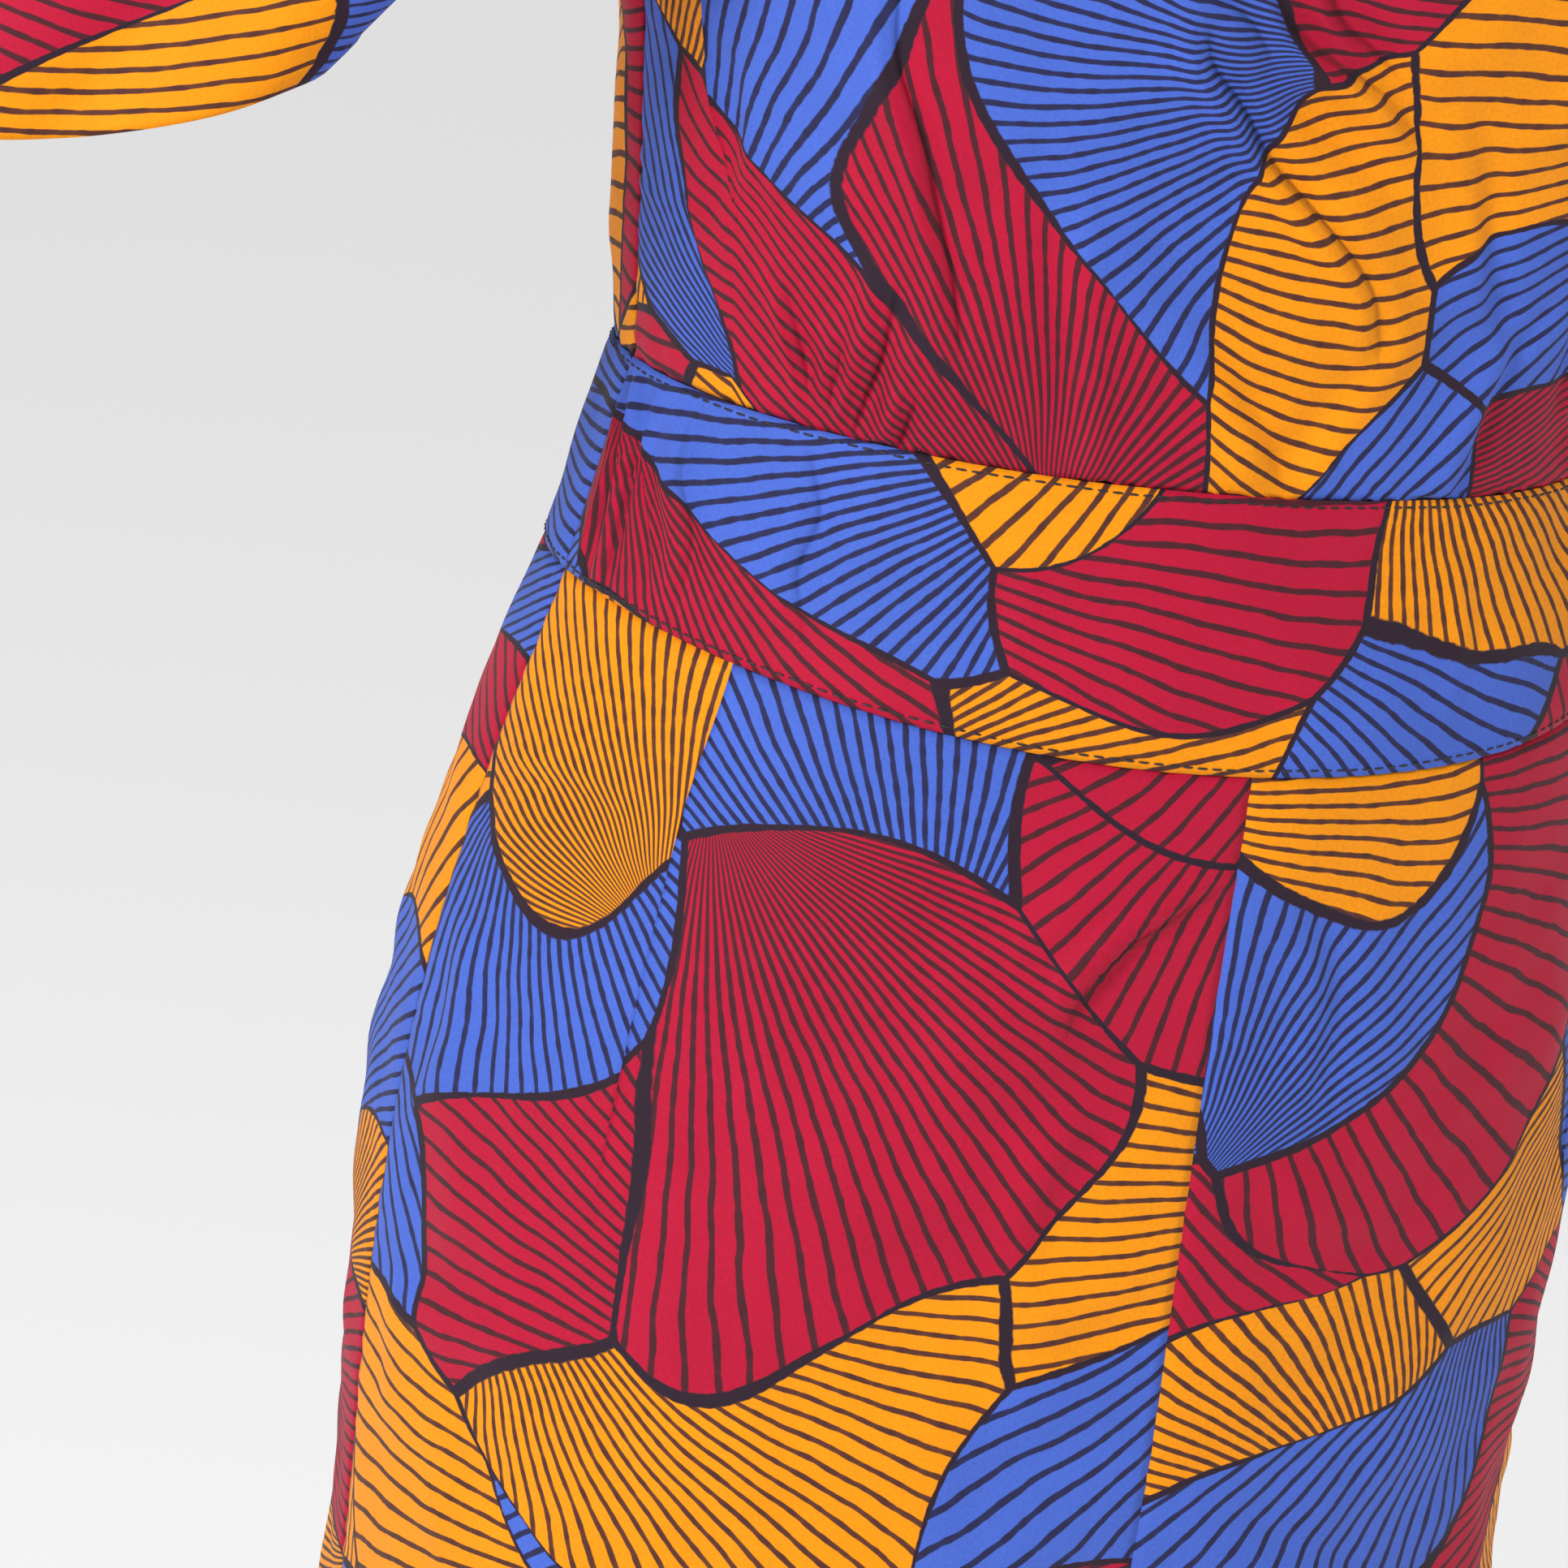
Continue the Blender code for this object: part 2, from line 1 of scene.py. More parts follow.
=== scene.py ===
"""Off-shoulder jumpsuit in printed cotton: its cloth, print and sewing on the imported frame."""
import bpy
import numpy as np
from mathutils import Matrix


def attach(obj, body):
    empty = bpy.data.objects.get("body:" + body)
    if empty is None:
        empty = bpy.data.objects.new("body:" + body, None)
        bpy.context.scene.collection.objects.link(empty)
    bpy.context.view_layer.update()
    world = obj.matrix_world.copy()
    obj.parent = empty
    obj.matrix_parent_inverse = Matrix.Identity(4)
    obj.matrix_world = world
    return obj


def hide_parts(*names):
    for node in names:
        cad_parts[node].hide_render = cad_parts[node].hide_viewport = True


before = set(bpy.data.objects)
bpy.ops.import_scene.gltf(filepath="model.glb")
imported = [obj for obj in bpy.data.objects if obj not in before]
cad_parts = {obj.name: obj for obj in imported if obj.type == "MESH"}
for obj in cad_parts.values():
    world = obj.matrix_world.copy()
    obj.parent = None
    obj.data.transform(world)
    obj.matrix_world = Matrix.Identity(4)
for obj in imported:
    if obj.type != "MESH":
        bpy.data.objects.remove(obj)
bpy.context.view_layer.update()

# Printed cotton. All pieces are cut from one crisp plain-weave cotton with a bold print:
# wavy cells in cobalt, crimson and orange with dark outlines, each hatched with a fan of
# fine hand-drawn lines. The wrong side shows the same print, paler.
MM = 0.001
CELL, CELL_SCATTER = 72 * MM, 0.92
CELL_SHAPE = (0.92 / CELL, 1.12 / CELL, 0)
COBALT, CRIMSON, ORANGE = (0.065, 0.138, 0.60), (0.475, 0.0045, 0.036), (0.92, 0.300, 0.001)
NAVY_INK, PLUM_INK, DARK_INK = (0.018, 0.014, 0.046), (0.050, 0.014, 0.020), (0.026, 0.012, 0.024)
UNDYED, WRONG_SIDE_PALER = (0.80, 0.76, 0.72), 0.38
BEND_SIZE, BEND = 170 * MM, (0.135, 0.135, 0)
CURL_SIZE, CURL, LINE_CURL = 70 * MM, (0.022, 0.022, 0), (0.13, 0.13, 0)
PIVOT_NEAR, PIVOT_SPREAD = 0.95, 0.6
FAN_LINES, HAND_SIZE, HAND_WANDER, RAGGED_SIZE = 122, 20 * MM, 0.36, 4 * MM
LINE_WIDTH, LINE_WIDENING, LINE_RAGGED = 0.198 * MM, 0.176 * MM, 0.6 * MM
LINE_MOST, LINE_SOFT, LINE_PALER = 0.95 * MM, 0.17 * MM, 0.12
RIM_SIZE, RIM_WIDTH, RIM_SWELL, RIM_RAGGED, RIM_SOFT = (
    50 * MM, -0.35 * MM, 2.0 * MM, 0.9 * MM, 0.2 * MM)
DYE_SIZE, DYE_SPREAD, DYE_LEAST, GRAIN_SIZE, GRAIN_SPREAD = 30 * MM, 0.22, 0.76, 1 * MM, 0.30
THREAD_PITCH, THREAD_RELIEF, SLUB_SIZE, SLUB = 0.42 * MM, 0.10 * MM, 2.5 * MM, 1.5
# CREASE_SHADE is painted shade: the share by which a crease's groove darkens the print.
PRESSED_WIDTH, CREASE_SHADE = 0.9, 0.34


def plug(inputs, values):
    """Gives each named input its value: a number, a vector or another node's output."""
    for name, value in values.items():
        if isinstance(value, bpy.types.NodeSocket):
            value.id_data.links.new(value, inputs[name])
        else:
            inputs[name].default_value = value


def node(kind, values, tree=None, **settings):
    """A shader node of that kind, with its settings and its inputs' values. Its tree is that
    of the outputs among them, or else given."""
    for value in values.values():
        if isinstance(value, bpy.types.NodeSocket):
            tree = value.id_data
    made = tree.nodes.new("ShaderNode" + kind)
    for name, value in settings.items():
        setattr(made, name, value)
    plug(made.inputs, values)
    return made


def calc(operation, *values, clamp=False):
    """The result of one step of arithmetic."""
    return node("Math", dict(enumerate(values)), operation=operation,
                use_clamp=clamp).outputs[0]


def vector(operation, *values):
    """The result of one step of arithmetic on vectors."""
    return node("VectorMath", dict(enumerate(values)), operation=operation).outputs[0]


def scaled(colour, factor):
    """A colour times a factor."""
    return node("VectorMath", {0: colour, "Scale": factor}, operation="SCALE").outputs[0]


def split(source):
    """The first two parts of a vector."""
    parts = node("SeparateXYZ", {0: source}).outputs
    return parts["X"], parts["Y"]


def noise(place, size, detail, output="Fac"):
    """Soft noise over the cloth with lumps of about that size in metres, from 0 to 1."""
    return node("TexNoise", {"Scale": 1 / size, "Detail": detail, "Vector": place},
                noise_dimensions="2D").outputs[output]


def step_down(value, edge, soft):
    """1 below the edge and 0 above it, with a soft change between."""
    limits = {"From Min": calc("ADD", edge, -soft), "From Max": calc("ADD", edge, soft)}
    return node("MapRange", {"Value": value, **limits, "To Min": 1, "To Max": 0},
                interpolation_type="SMOOTHSTEP").outputs[0]


def mixed(factor, first, second):
    """A colour between two, each a colour or an output."""
    first, second = ((*c, 1) if isinstance(c, tuple) else c for c in (first, second))
    return node("Mix", {"Factor": factor, "A": first, "B": second},
                data_type="RGBA").outputs["Result"]


def material_of(name, finish, *values):
    """A material, its surface shader given what the finish works out on the material's nodes."""
    material = bpy.data.materials.new(name)
    material.use_nodes = True
    tree = material.node_tree
    plug(tree.nodes["Principled BSDF"].inputs, finish(tree, *values))
    return material


def printed_cotton(tree, paler):
    """The print, on the map of where each piece was cut, in metres.

    The cloth's plane is bent by soft noise and split into cells, whose colours follow in
    turn. In each cell the lines fan out round a point beyond its edge. Weave is a fine bump
    in both ways, and the crease attribute, its distance and depth in mm, presses a narrow
    groove and darkens the print along it as painted shade.
    """
    place = node("UVMap", {}, tree, uv_map="cut").outputs["UV"]
    bend, curl = (vector("SUBTRACT", noise(place, size, 0, "Color"), (0.5, 0.5, 0.5))
                  for size in (BEND_SIZE, CURL_SIZE))
    bent = vector("ADD", place, vector("MULTIPLY", bend, BEND))
    bent = vector("ADD", bent, vector("MULTIPLY", curl, CURL))
    spot = {"Scale": 1, "Randomness": CELL_SCATTER,
            "Vector": vector("MULTIPLY", bent, CELL_SHAPE)}
    cells, edges = (
        node("TexVoronoi", spot, feature=feature, voronoi_dimensions="2D").outputs
        for feature in ("F1", "DISTANCE_TO_EDGE"))

    chance = node("SeparateColor", {0: cells["Color"]}).outputs
    turn = calc("MULTIPLY", chance["Green"], 2 * np.pi)
    reach = calc("MULTIPLY_ADD", chance["Blue"], PIVOT_SPREAD, PIVOT_NEAR)
    pivot = node("CombineXYZ", {
        axis: calc("MULTIPLY", calc(wave, turn), reach)
        for axis, wave in (("X", "COSINE"), ("Y", "SINE"))}).outputs[0]
    near = vector("ADD", vector("MULTIPLY", place, CELL_SHAPE),
                  vector("MULTIPLY", curl, LINE_CURL))
    arm = vector("SUBTRACT", vector("SUBTRACT", near, cells["Position"]), pivot)
    x, y = split(arm)
    radius = calc("SQRT", calc("ADD", calc("MULTIPLY", x, x), calc("MULTIPLY", y, y)))
    angle = calc("MULTIPLY", calc("ARCTAN2", y, x), FAN_LINES / (2 * np.pi))
    hand = noise(place, HAND_SIZE, 1)
    angle = calc("MULTIPLY_ADD", hand, HAND_WANDER, angle)
    from_line = calc("MULTIPLY", calc("PINGPONG", angle, 0.5),
                     calc("MULTIPLY", radius, 2 * np.pi * CELL / FAN_LINES))
    ragged = noise(place, RAGGED_SIZE, 4)
    half_width = calc("MULTIPLY_ADD", radius, LINE_WIDENING, LINE_WIDTH)
    half_width = calc("MULTIPLY_ADD", ragged, LINE_RAGGED, half_width)
    half_width = calc("MINIMUM", half_width, calc("MULTIPLY", radius, LINE_MOST))
    hatch = calc("MULTIPLY", step_down(from_line, half_width, LINE_SOFT),
                 calc("MULTIPLY_ADD", ragged, LINE_PALER, 1 - LINE_PALER))

    rim = calc("MULTIPLY_ADD", noise(place, RIM_SIZE, 0), RIM_SWELL, RIM_WIDTH)
    rim = calc("MULTIPLY_ADD", ragged, RIM_RAGGED, rim)
    outline = step_down(calc("MULTIPLY", edges["Distance"], CELL), rim, RIM_SOFT)

    column, row = (calc("FLOOR", part) for part in split(cells["Position"]))
    order = calc("FLOORED_MODULO", calc("MULTIPLY_ADD", row, 2, column), 3)
    is_blue, is_red = (calc("LESS_THAN", order, limit) for limit in (0.5, 1.5))
    ground = mixed(is_blue, mixed(is_red, ORANGE, CRIMSON), COBALT)
    shade = calc("MULTIPLY_ADD", noise(place, DYE_SIZE, 4), DYE_SPREAD, DYE_LEAST)
    shade = calc("MULTIPLY_ADD", noise(place, GRAIN_SIZE, 3), GRAIN_SPREAD, shade)
    ink = mixed(outline, mixed(is_blue, PLUM_INK, NAVY_INK), DARK_INK)
    colour = mixed(calc("MAXIMUM", hatch, outline), scaled(ground, shade), ink)
    colour = mixed(paler, colour, UNDYED)

    off, depth = split(node("Attribute", {}, tree, attribute_name="crease").outputs["Vector"])
    groove = calc("MULTIPLY", calc("MULTIPLY", off, off), -1 / PRESSED_WIDTH ** 2)
    groove = calc("MULTIPLY", calc("EXPONENT", groove), depth)
    # Painted shade: the print's colour darkens along each narrow crease's groove, by up to
    # CREASE_SHADE.
    crease_painted_shade = calc("MULTIPLY_ADD", groove, -CREASE_SHADE, 1, clamp=True)
    press = node("Bump", {"Strength": 1, "Distance": MM, "Height": groove}, invert=True)

    warp, weft = (calc("SINE", calc("MULTIPLY", way, 2 * np.pi / THREAD_PITCH))
                  for way in split(place))
    slub = calc("MULTIPLY", noise(place, SLUB_SIZE, 2), SLUB)
    weave = calc("ADD", calc("MULTIPLY", warp, weft), slub)
    bump = node("Bump", {"Strength": 0.35, "Distance": THREAD_RELIEF, "Height": weave,
                         "Normal": press.outputs[0]})
    return {"Base Color": scaled(colour, crease_painted_shade), "Normal": bump.outputs[0],
            "Roughness": 0.62, "Specular IOR Level": 0.18, "Sheen Weight": 0.04,
            "Sheen Roughness": 0.45}


RIGHT_SIDE = material_of("printed_cotton", printed_cotton, 0.0)
WRONG_SIDE = material_of("print_back", printed_cotton, WRONG_SIDE_PALER)

# Bodice front. One panel across both sides, shaped by a curved dart on each side of the
# bust, eased into the waistband with a small tuck, and gathered at the neckline by the
# elastic. It creases softly from the middle of the bust down to the waist.
ROW_COLUMNS = ("side_x", "side_y", "side_z", "side_turn", "mid_x", "mid_y", "mid_z",
               "crest", "steps")
QUARTER, HALF_SIDE, HALF_MID, BETWEEN, YOKE = 0.60, 0.74, 0.34, 0.6, 0.34
FRONT_YOKE = ((-133, -86, 243, 20, 0, -99, 229, 13, 1),)
FRONT_BODICE = (
    (-150, 2, 176, 90, 0, -100, 164, 102, 32),
    (-141, 1, 118, 90, 0, -97, 110, 98, 34),
    (-134, 0, 62, 90, 0, -95, 56, 95, 40),
    (-127, 0, 0, 90, 0, -94, -3, 94, 34),
)
FRONT_ARMHOLE = np.array(((0, -48, 2), (-4, 6, -36))) * MM
ARMHOLE_STEPS, FRONT_STEPS = 42, 112
BUST_X, BUST_Z = 78 * MM, 158 * MM
BUST_WIDTH, BUST_HEIGHT, BUST_DEPTH = 52 * MM, 62 * MM, 20 * MM
HALF_NECK_GATHERS = 13
GATHER_DEPTH, GATHER_FADE, GATHER_STILL = 2.6 * MM, 45 * MM, 0.8
CLOTH = 0.45 * MM
TURNED_IN, ROLL, ROLL_DEPTH = 4.5 * MM, 2.2 * MM, 0.55 * MM
FRONT_DART = ((0.60, 0.165, 22), (0.70, 0.184, 16), (0.745, 0.224, 10), (0.775, 0.237, 7),
              (0.82, 0.268, 0))
FOLD_COLUMNS = ("start_x", "start_z", "end_x", "end_z", "width", "depth")
FRONT_BODICE_FOLDS = (
    (-44, 118, 22, 40, 13, 2.6),
    (-22, 128, 34, 74, 12, -2.2),
    (-12, 136, 50, 84, 13, 2.4),
    (-34, 52, 12, 4, 12, -2.2),
    (-106, 96, -84, 22, 12, 2.4),
    (-99, 44, -100, 2, 9, -1.8),
    (58, 96, 88, 24, 13, 2.2),
    (104, 60, 92, 6, 11, -1.8),
)
FRONT_BODICE_CREASES = (
    (2.8, 2.3, (-47, 126), (-41, 139), (-32, 146), (-21, 157), (-7, 168), (7, 180), (12, 187),
     (17, 204)),
    (3.4, 2.2, (-32, 116), (-22, 126), (-10, 133), (5, 140), (18, 152)),
    (4.6, -1.6, (-24, 133), (-15, 139), (-6, 143), (7, 151), (20, 162)),
    (3.6, 1.9, (-24, 106), (-18, 113), (-8, 125), (3, 132), (16, 144)),
    (3.2, 1.4, (-54, 116), (-46, 124), (-34, 128), (-26, 136)),
    (3.2, 2.0, (-118, 142), (-112, 167), (-101, 185), (-94, 203), (-88, 218), (-85, 230)),
    (3.6, 1.9, (-103, 222), (-104, 239), (-106, 254), (-108, 270)),
    (2.2, 1.6, (-92, 244), (-94, 256), (-97, 270)),
    (2.2, 1.3, (-112, 244), (-112, 258), (-113, 270)),
    (3, 1.3, (-130, 248), (-124, 258), (-119, 266), (-116, 274)),
    (5, -1.2, (-74, 166), (-62, 198), (-54, 232), (-52, 264)),
    (5, 1.1, (-34, 196), (-12, 220), (2, 240), (8, 258)),
    (4, -1.0, (-150, 196), (-146, 222), (-150, 250)),
    (4, 1.4, (26, 140), (38, 164), (46, 190), (60, 216)),
    (3.2, -1.5, (98, 158), (91, 186), (85, 214), (87, 242)),
    (3, 1.6, (103, 232), (103, 250), (107, 270)),
    (2.4, -1.3, (111, 240), (112, 256), (115, 270)),
    (4.4, 1.3, (64, 196), (52, 222), (45, 254)),
    (5, -1.1, (22, 192), (8, 218), (-6, 242), (-10, 262)),
    (4, 1.1, (126, 232), (134, 248), (139, 262)),
    (5, 1.0, (140, 150), (132, 178), (136, 204)),
)
CREASE_LIFT, RIDGE_WIDTH, HOLLOW_WIDTH, HOLLOW_PLACE, HOLLOW_SHARE = 1.5, 1.3, 0.9, 1.5, 0.9
SHARPNESS, SHARP_WIDTH, SHARP_PLACE, SHARP_REACH = 0.55, 3.8, 1.2, 6
CROSSING_GAP, CROSSING_FADE, FAR_OFF, NO_LINE = 4, 3, 9, 99.0
FOLD_FADE, CREASE_FADE, RIPPLE_FADE = 0.06, 0.008, 0.08
LEVEL_REACH, ARMHOLE_REACH = 2 * MM, 3 * MM
FRONT_DART_FADE, DART_EDGE = ((0.40, 0.58, 0.78, 0.84), (0, 1, 1, 0)), 0.006
PUCKER_PITCH, PUCKER_DEPTH, PUCKER_FADE = 8.5 * MM, 0.32 * MM, 7 * MM
DART_RISE, DART_OVER, DART_SINK, DART_UNDER = 0.30, 7 * MM, 0.35, 5 * MM
MIRROR = np.array((-1, 1, 1))
SIDES = ("top", "bottom", "first", "last")
RIPPLE_COLUMNS = ("length", "turn", "start", "height")
RIPPLES = ((61, 24, 0.4, 0.50), (43, -38, 1.9, 0.36), (29, 71, 3.1, 0.24), (22, -12, 5.0, 0.16),
           (17, 52, 0.9, 0.10))


def named(columns, rows):
    """A short table as one array for each named column, its lengths in metres."""
    table = dict(zip(columns, np.array(rows, float).T))
    plain = {"side_turn": np.pi / 180, "steps": 1, "turn": np.pi / 180, "start": 1}
    return {name: values * plain.get(name, MM) for name, values in table.items()}


def through(values, at):
    """A smooth curve through values at 0, 1, 2 and on, which never overshoots them."""
    step = np.diff(values)
    before, after = step[:-1], step[1:]
    even = before * after > 0
    inner = np.where(even, 2 * before * after / np.where(even, before + after, 1), 0)
    slope = np.concatenate([[step[0]], inner, [step[-1]]])
    i = np.clip(at.astype(int), 0, len(values) - 2)
    t = at - i
    return (values[i] + step[i] * t * t * (3 - 2 * t) + slope[i] * t * (1 - t) ** 2
            - slope[i + 1] * t * t * (1 - t))


def bezier(start, handle_a, handle_b, end, t):
    """Points of a curve from start to end, drawn towards its two handles."""
    t = t[..., None]
    return (start * (1 - t) ** 3 + handle_a * 3 * t * (1 - t) ** 2
            + handle_b * 3 * t * t * (1 - t) + end * t ** 3)


def unit(vectors):
    """Vectors divided by their lengths."""
    return vectors / np.maximum(np.linalg.norm(vectors, axis=-1, keepdims=True), 1e-12)


def half_rows(side, mid, side_turn, crest, facing, u):
    """Rows from the side points to the centre points: a quarter of an oval where the centre
    lies at the crest, and half an oval where it lies back at the side's depth."""
    across = np.abs(mid[:, 0] - side[:, 0])
    back = np.clip(1 - facing * (mid[:, 1] - side[:, 1]) / crest, 0, 1)
    between = BETWEEN * back * (1 - back)
    reach = crest * (QUARTER + HALF_SIDE * back + between) * np.sin(side_turn)
    reach += YOKE * across * np.cos(side_turn)
    depth = crest * (1 + HALF_MID * back + between)
    width = across * (YOKE + (QUARTER - YOKE) * np.sin(side_turn)) * (1 - back)
    leave = np.stack([np.cos(side_turn), facing * np.sin(side_turn), 0 * crest], axis=1)
    handle = np.stack([mid[:, 0] - width, side[:, 1] + facing * depth, mid[:, 2]], axis=1)
    return bezier(side[:, None], (side + leave * reach[:, None])[:, None], handle[:, None],
                  mid[:, None], u)


def ends(table):
    """The side points and the centre points of a table's rows."""
    return (np.stack([table["side_x"], table["side_y"], table["side_z"]], axis=1),
            np.stack([table["mid_x"], table["mid_y"], table["mid_z"]], axis=1))


def even_rows(table, facing, u_of):
    """The grid of a table's rows, with its count of steps from each row to the next."""
    count = table["steps"][:-1].astype(int)
    at = np.append(np.concatenate([i + np.arange(n) / n for i, n in enumerate(count)]),
                   len(count))
    c = {name: through(values, at) for name, values in table.items()}
    side, mid = ends(c)
    return half_rows(side, mid, c["side_turn"], c["crest"], facing, u_of)


def bodice_half(yoke, bodice, armhole, facing, u_of):
    """The right half of the bodice: above the underarm the side point climbs the armhole's
    curve and the row turns flat, and below it the rows are those of the table."""
    c = named(ROW_COLUMNS, yoke + bodice[:1])
    side, mid = ends(c)
    t = np.linspace(0, 1, ARMHOLE_STEPS + 1)
    seam = bezier(side[1], side[1] + armhole[0], side[0] + armhole[1], side[0], t)[::-1]
    centre = mid[0] * (1 - t[:, None]) + mid[1] * t[:, None]
    turn = c["side_turn"][0] + (c["side_turn"][1] - c["side_turn"][0]) * np.sqrt(t)
    lower = named(ROW_COLUMNS, bodice)
    total = ARMHOLE_STEPS + 1 + int(lower["steps"][:-1].sum())
    u = np.broadcast_to(u_of, (total, u_of.shape[-1]))
    upper = half_rows(seam, centre, turn, np.abs(centre[:, 1] - seam[:, 1]), facing,
                      u[:ARMHOLE_STEPS + 1])
    return np.concatenate([upper, even_rows(lower, facing, u[ARMHOLE_STEPS:])[1:]])


def eased(half, u):
    """Smooths a half panel down its columns by a bell curve over some rows, except near the
    seam at its side, so that it bends softly where the armhole ends."""
    reach, width, seam = 12, 5.0, 0.25
    bell = np.exp(-(np.arange(-reach, reach + 1) / width) ** 2)
    bell /= bell.sum()
    padded = np.concatenate([2 * half[:1] - half[reach:0:-1], half,
                             2 * half[-1:] - half[-2:-reach - 2:-1]])
    soft = sum(w * padded[k:k + len(half)] for k, w in enumerate(bell))
    keep = np.clip(u / seam, 0, 1)[..., None] ** 2
    return half * (1 - keep) + soft * keep


def with_bust(half, u):
    """Moves the front's right half forwards into a soft mound, nothing at the side seam."""
    x, z = half[..., 0], half[..., 2]
    mound = sum(np.exp(-((x - side * BUST_X) / BUST_WIDTH) ** 2) for side in (-1, 1))
    out = half.copy()
    out[..., 1] -= (BUST_DEPTH * np.exp(-((z - BUST_Z) / BUST_HEIGHT) ** 2) * mound
                    * u * (2 - u))
    return out


def mirrored(grid):
    """The grid on the wearer's left, its columns from the centre to the side."""
    return (grid * MIRROR)[:, ::-1]


def whole(half):
    """A half panel and its mirror image as one grid."""
    return np.concatenate([half, mirrored(half)[:, 1:]], axis=1)


def outward(grid, sign, closed=False):
    """Unit normals of a grid from its central differences, turned by sign. The last column
    of a closed grid joins its first."""
    if closed:
        grid = np.concatenate([grid[:, -1:], grid, grid[:, :1]], axis=1)
    normal = sign * unit(np.cross(np.gradient(grid, axis=0, edge_order=2),
                                  np.gradient(grid, axis=1, edge_order=2)))
    return normal[:, 1:-1] if closed else normal


def raised(grid, sign, height, closed=False):
    """The grid with each point moved outwards by its height."""
    return grid + outward(grid, sign, closed) * height[..., None]


def arcs(grid, axis):
    """Lengths along a grid's lines, or along one line, from their start."""
    step = np.linalg.norm(np.diff(grid, axis=axis), axis=-1)
    start = np.zeros_like(np.take(step, [0], axis=axis))
    return np.concatenate([start, np.cumsum(step, axis=axis)], axis=axis)


def edge_fade(shape, reach):
    """0 at a grid's edges and 1 inside, as the solids' folds fade."""
    u = np.linspace(0, 1, shape[1])[None, :]
    v = np.linspace(0, 1, shape[0])[:, None]
    return np.clip(u * (1 - u) / reach, 0, 1) * np.clip(v * (1 - v) / reach, 0, 1)


def folded(grid, sign, folds):
    """Moves cloth out or in along soft folds, each a bell curve of the distance to its line,
    seen from the front. Nothing moves at the edges."""
    c = named(FOLD_COLUMNS, folds)
    start = np.stack([c["start_x"], c["start_z"]], axis=1)
    run = np.stack([c["end_x"], c["end_z"]], axis=1) - start
    away = grid[:, :, None, ::2] - start
    t = np.clip((away * run).sum(axis=-1) / (run * run).sum(axis=-1), 0, 1)
    distance = np.linalg.norm(away - t[..., None] * run, axis=-1)
    height = (c["depth"] * np.exp(-(distance / c["width"]) ** 2)).sum(axis=-1)
    return raised(grid, sign, height * edge_fade(grid.shape, FOLD_FADE))


def to_curve(place, line):
    """The distance of each place to the smooth curve through a line's points, positive at
    its right, and how far along it the nearest point lies, from 0 to 1."""
    line = np.array(line, float) * MM
    at = np.linspace(0, len(line) - 1, 6 * len(line))
    line = np.stack([through(line[:, 0], at), through(line[:, 1], at)], axis=1)
    start, run = line[:-1], np.diff(line, axis=0)
    away = place[:, :, None] - start
    t = np.clip((away * run).sum(-1) / (run * run).sum(-1), 0, 1)
    off = away - t[..., None] * run
    distance = np.linalg.norm(off, axis=-1)
    near = distance.argmin(axis=-1)[..., None]
    side = np.sign(np.take_along_axis(off[..., 0] * run[:, 1] - off[..., 1] * run[:, 0],
                                      near, -1))[..., 0]
    gone = (near + np.take_along_axis(t, near, -1))[..., 0] / len(run)
    return side * distance.min(axis=-1), np.clip(gone, 0, 1)


def creased(grid, sign, centre, creases):
    """Adds creases, each given by its width, its depth and the points of its curve in the
    cloth's plane, in mm across from the centre and down from the top edge. A crease is a
    ridge with a hollow at its right, both bell curves of the distance to the curve, and it
    fades out at both ends. Also gives, in mm, the distance to the sharp line in a narrow
    crease's hollow, and that line's depth, which is none where two lines lie close
    together."""
    across, down = arcs(grid, 1), arcs(grid, 0)
    place = np.stack([across - across[:, centre:centre + 1], down], axis=-1)
    height = press = np.zeros(grid.shape[:2])
    sharp = second = np.full(grid.shape[:2], NO_LINE)
    for width, depth, *line in creases:
        distance, gone = to_curve(place, line)
        signed = distance / (width * MM)
        shape = np.exp(-(signed / RIDGE_WIDTH) ** 2) - HOLLOW_SHARE * np.exp(
            -((signed - HOLLOW_PLACE) / HOLLOW_WIDTH) ** 2)
        fade = np.sin(np.pi * gone) ** 0.6
        height = height + CREASE_LIFT * depth * MM * shape * fade
        if width < SHARP_WIDTH:
            to_line = (signed - SHARP_PLACE) * width
            nearer = np.abs(to_line) < np.abs(sharp)
            second = np.minimum(second, np.where(nearer, np.abs(sharp), np.abs(to_line)))
            sharp = np.where(nearer, to_line, sharp)
            press = np.where(nearer, SHARPNESS * abs(depth) * fade, press)
    fade = edge_fade(grid.shape, CREASE_FADE)
    alone = np.clip((second - np.abs(sharp) - CROSSING_GAP) / CROSSING_FADE, 0, 1)
    press = press * fade * alone * (np.abs(sharp) < SHARP_REACH)
    lines = np.stack([np.clip(sharp, -FAR_OFF, FAR_OFF), press], axis=-1)
    return raised(grid, sign, height * fade), lines


def rippled(grid, sign, strength, shift):
    """Adds low waves in several directions over the cloth's own plane."""
    c = named(RIPPLE_COLUMNS, RIPPLES)
    across, down = arcs(grid, 1)[..., None], arcs(grid, 0)[..., None]
    way = across * np.cos(c["turn"]) + down * np.sin(c["turn"])
    wave = (c["height"] * np.sin(2 * np.pi * way / c["length"] + c["start"] + shift)).sum(-1)
    return raised(grid, sign, wave * strength * edge_fade(grid.shape, RIPPLE_FADE))


def cut_map(grid, centre, shift, lines, crotch):
    """Where each point of the smooth form lay on the flat cloth: across from the centre's
    column, and down. Below a leg's crotch row, across goes from the side seam and down is
    plumb, so that the crotch's reach adds at the inner side alone, as a leg is cut. Behind
    them go the two values of the crease lines."""
    across, down = arcs(grid, 1), arcs(grid, 0)
    across = across - across[:, centre:centre + 1]
    if crotch:
        side = across[:, [-1 - centre]]
        row = np.minimum(np.arange(len(grid)), crotch)
        across = across - side + side[row]
        down = down[row] + grid[row, :, 2] - grid[..., 2]
    return np.concatenate([np.stack([across + shift[0], shift[1] - down], axis=-1), lines], -1)


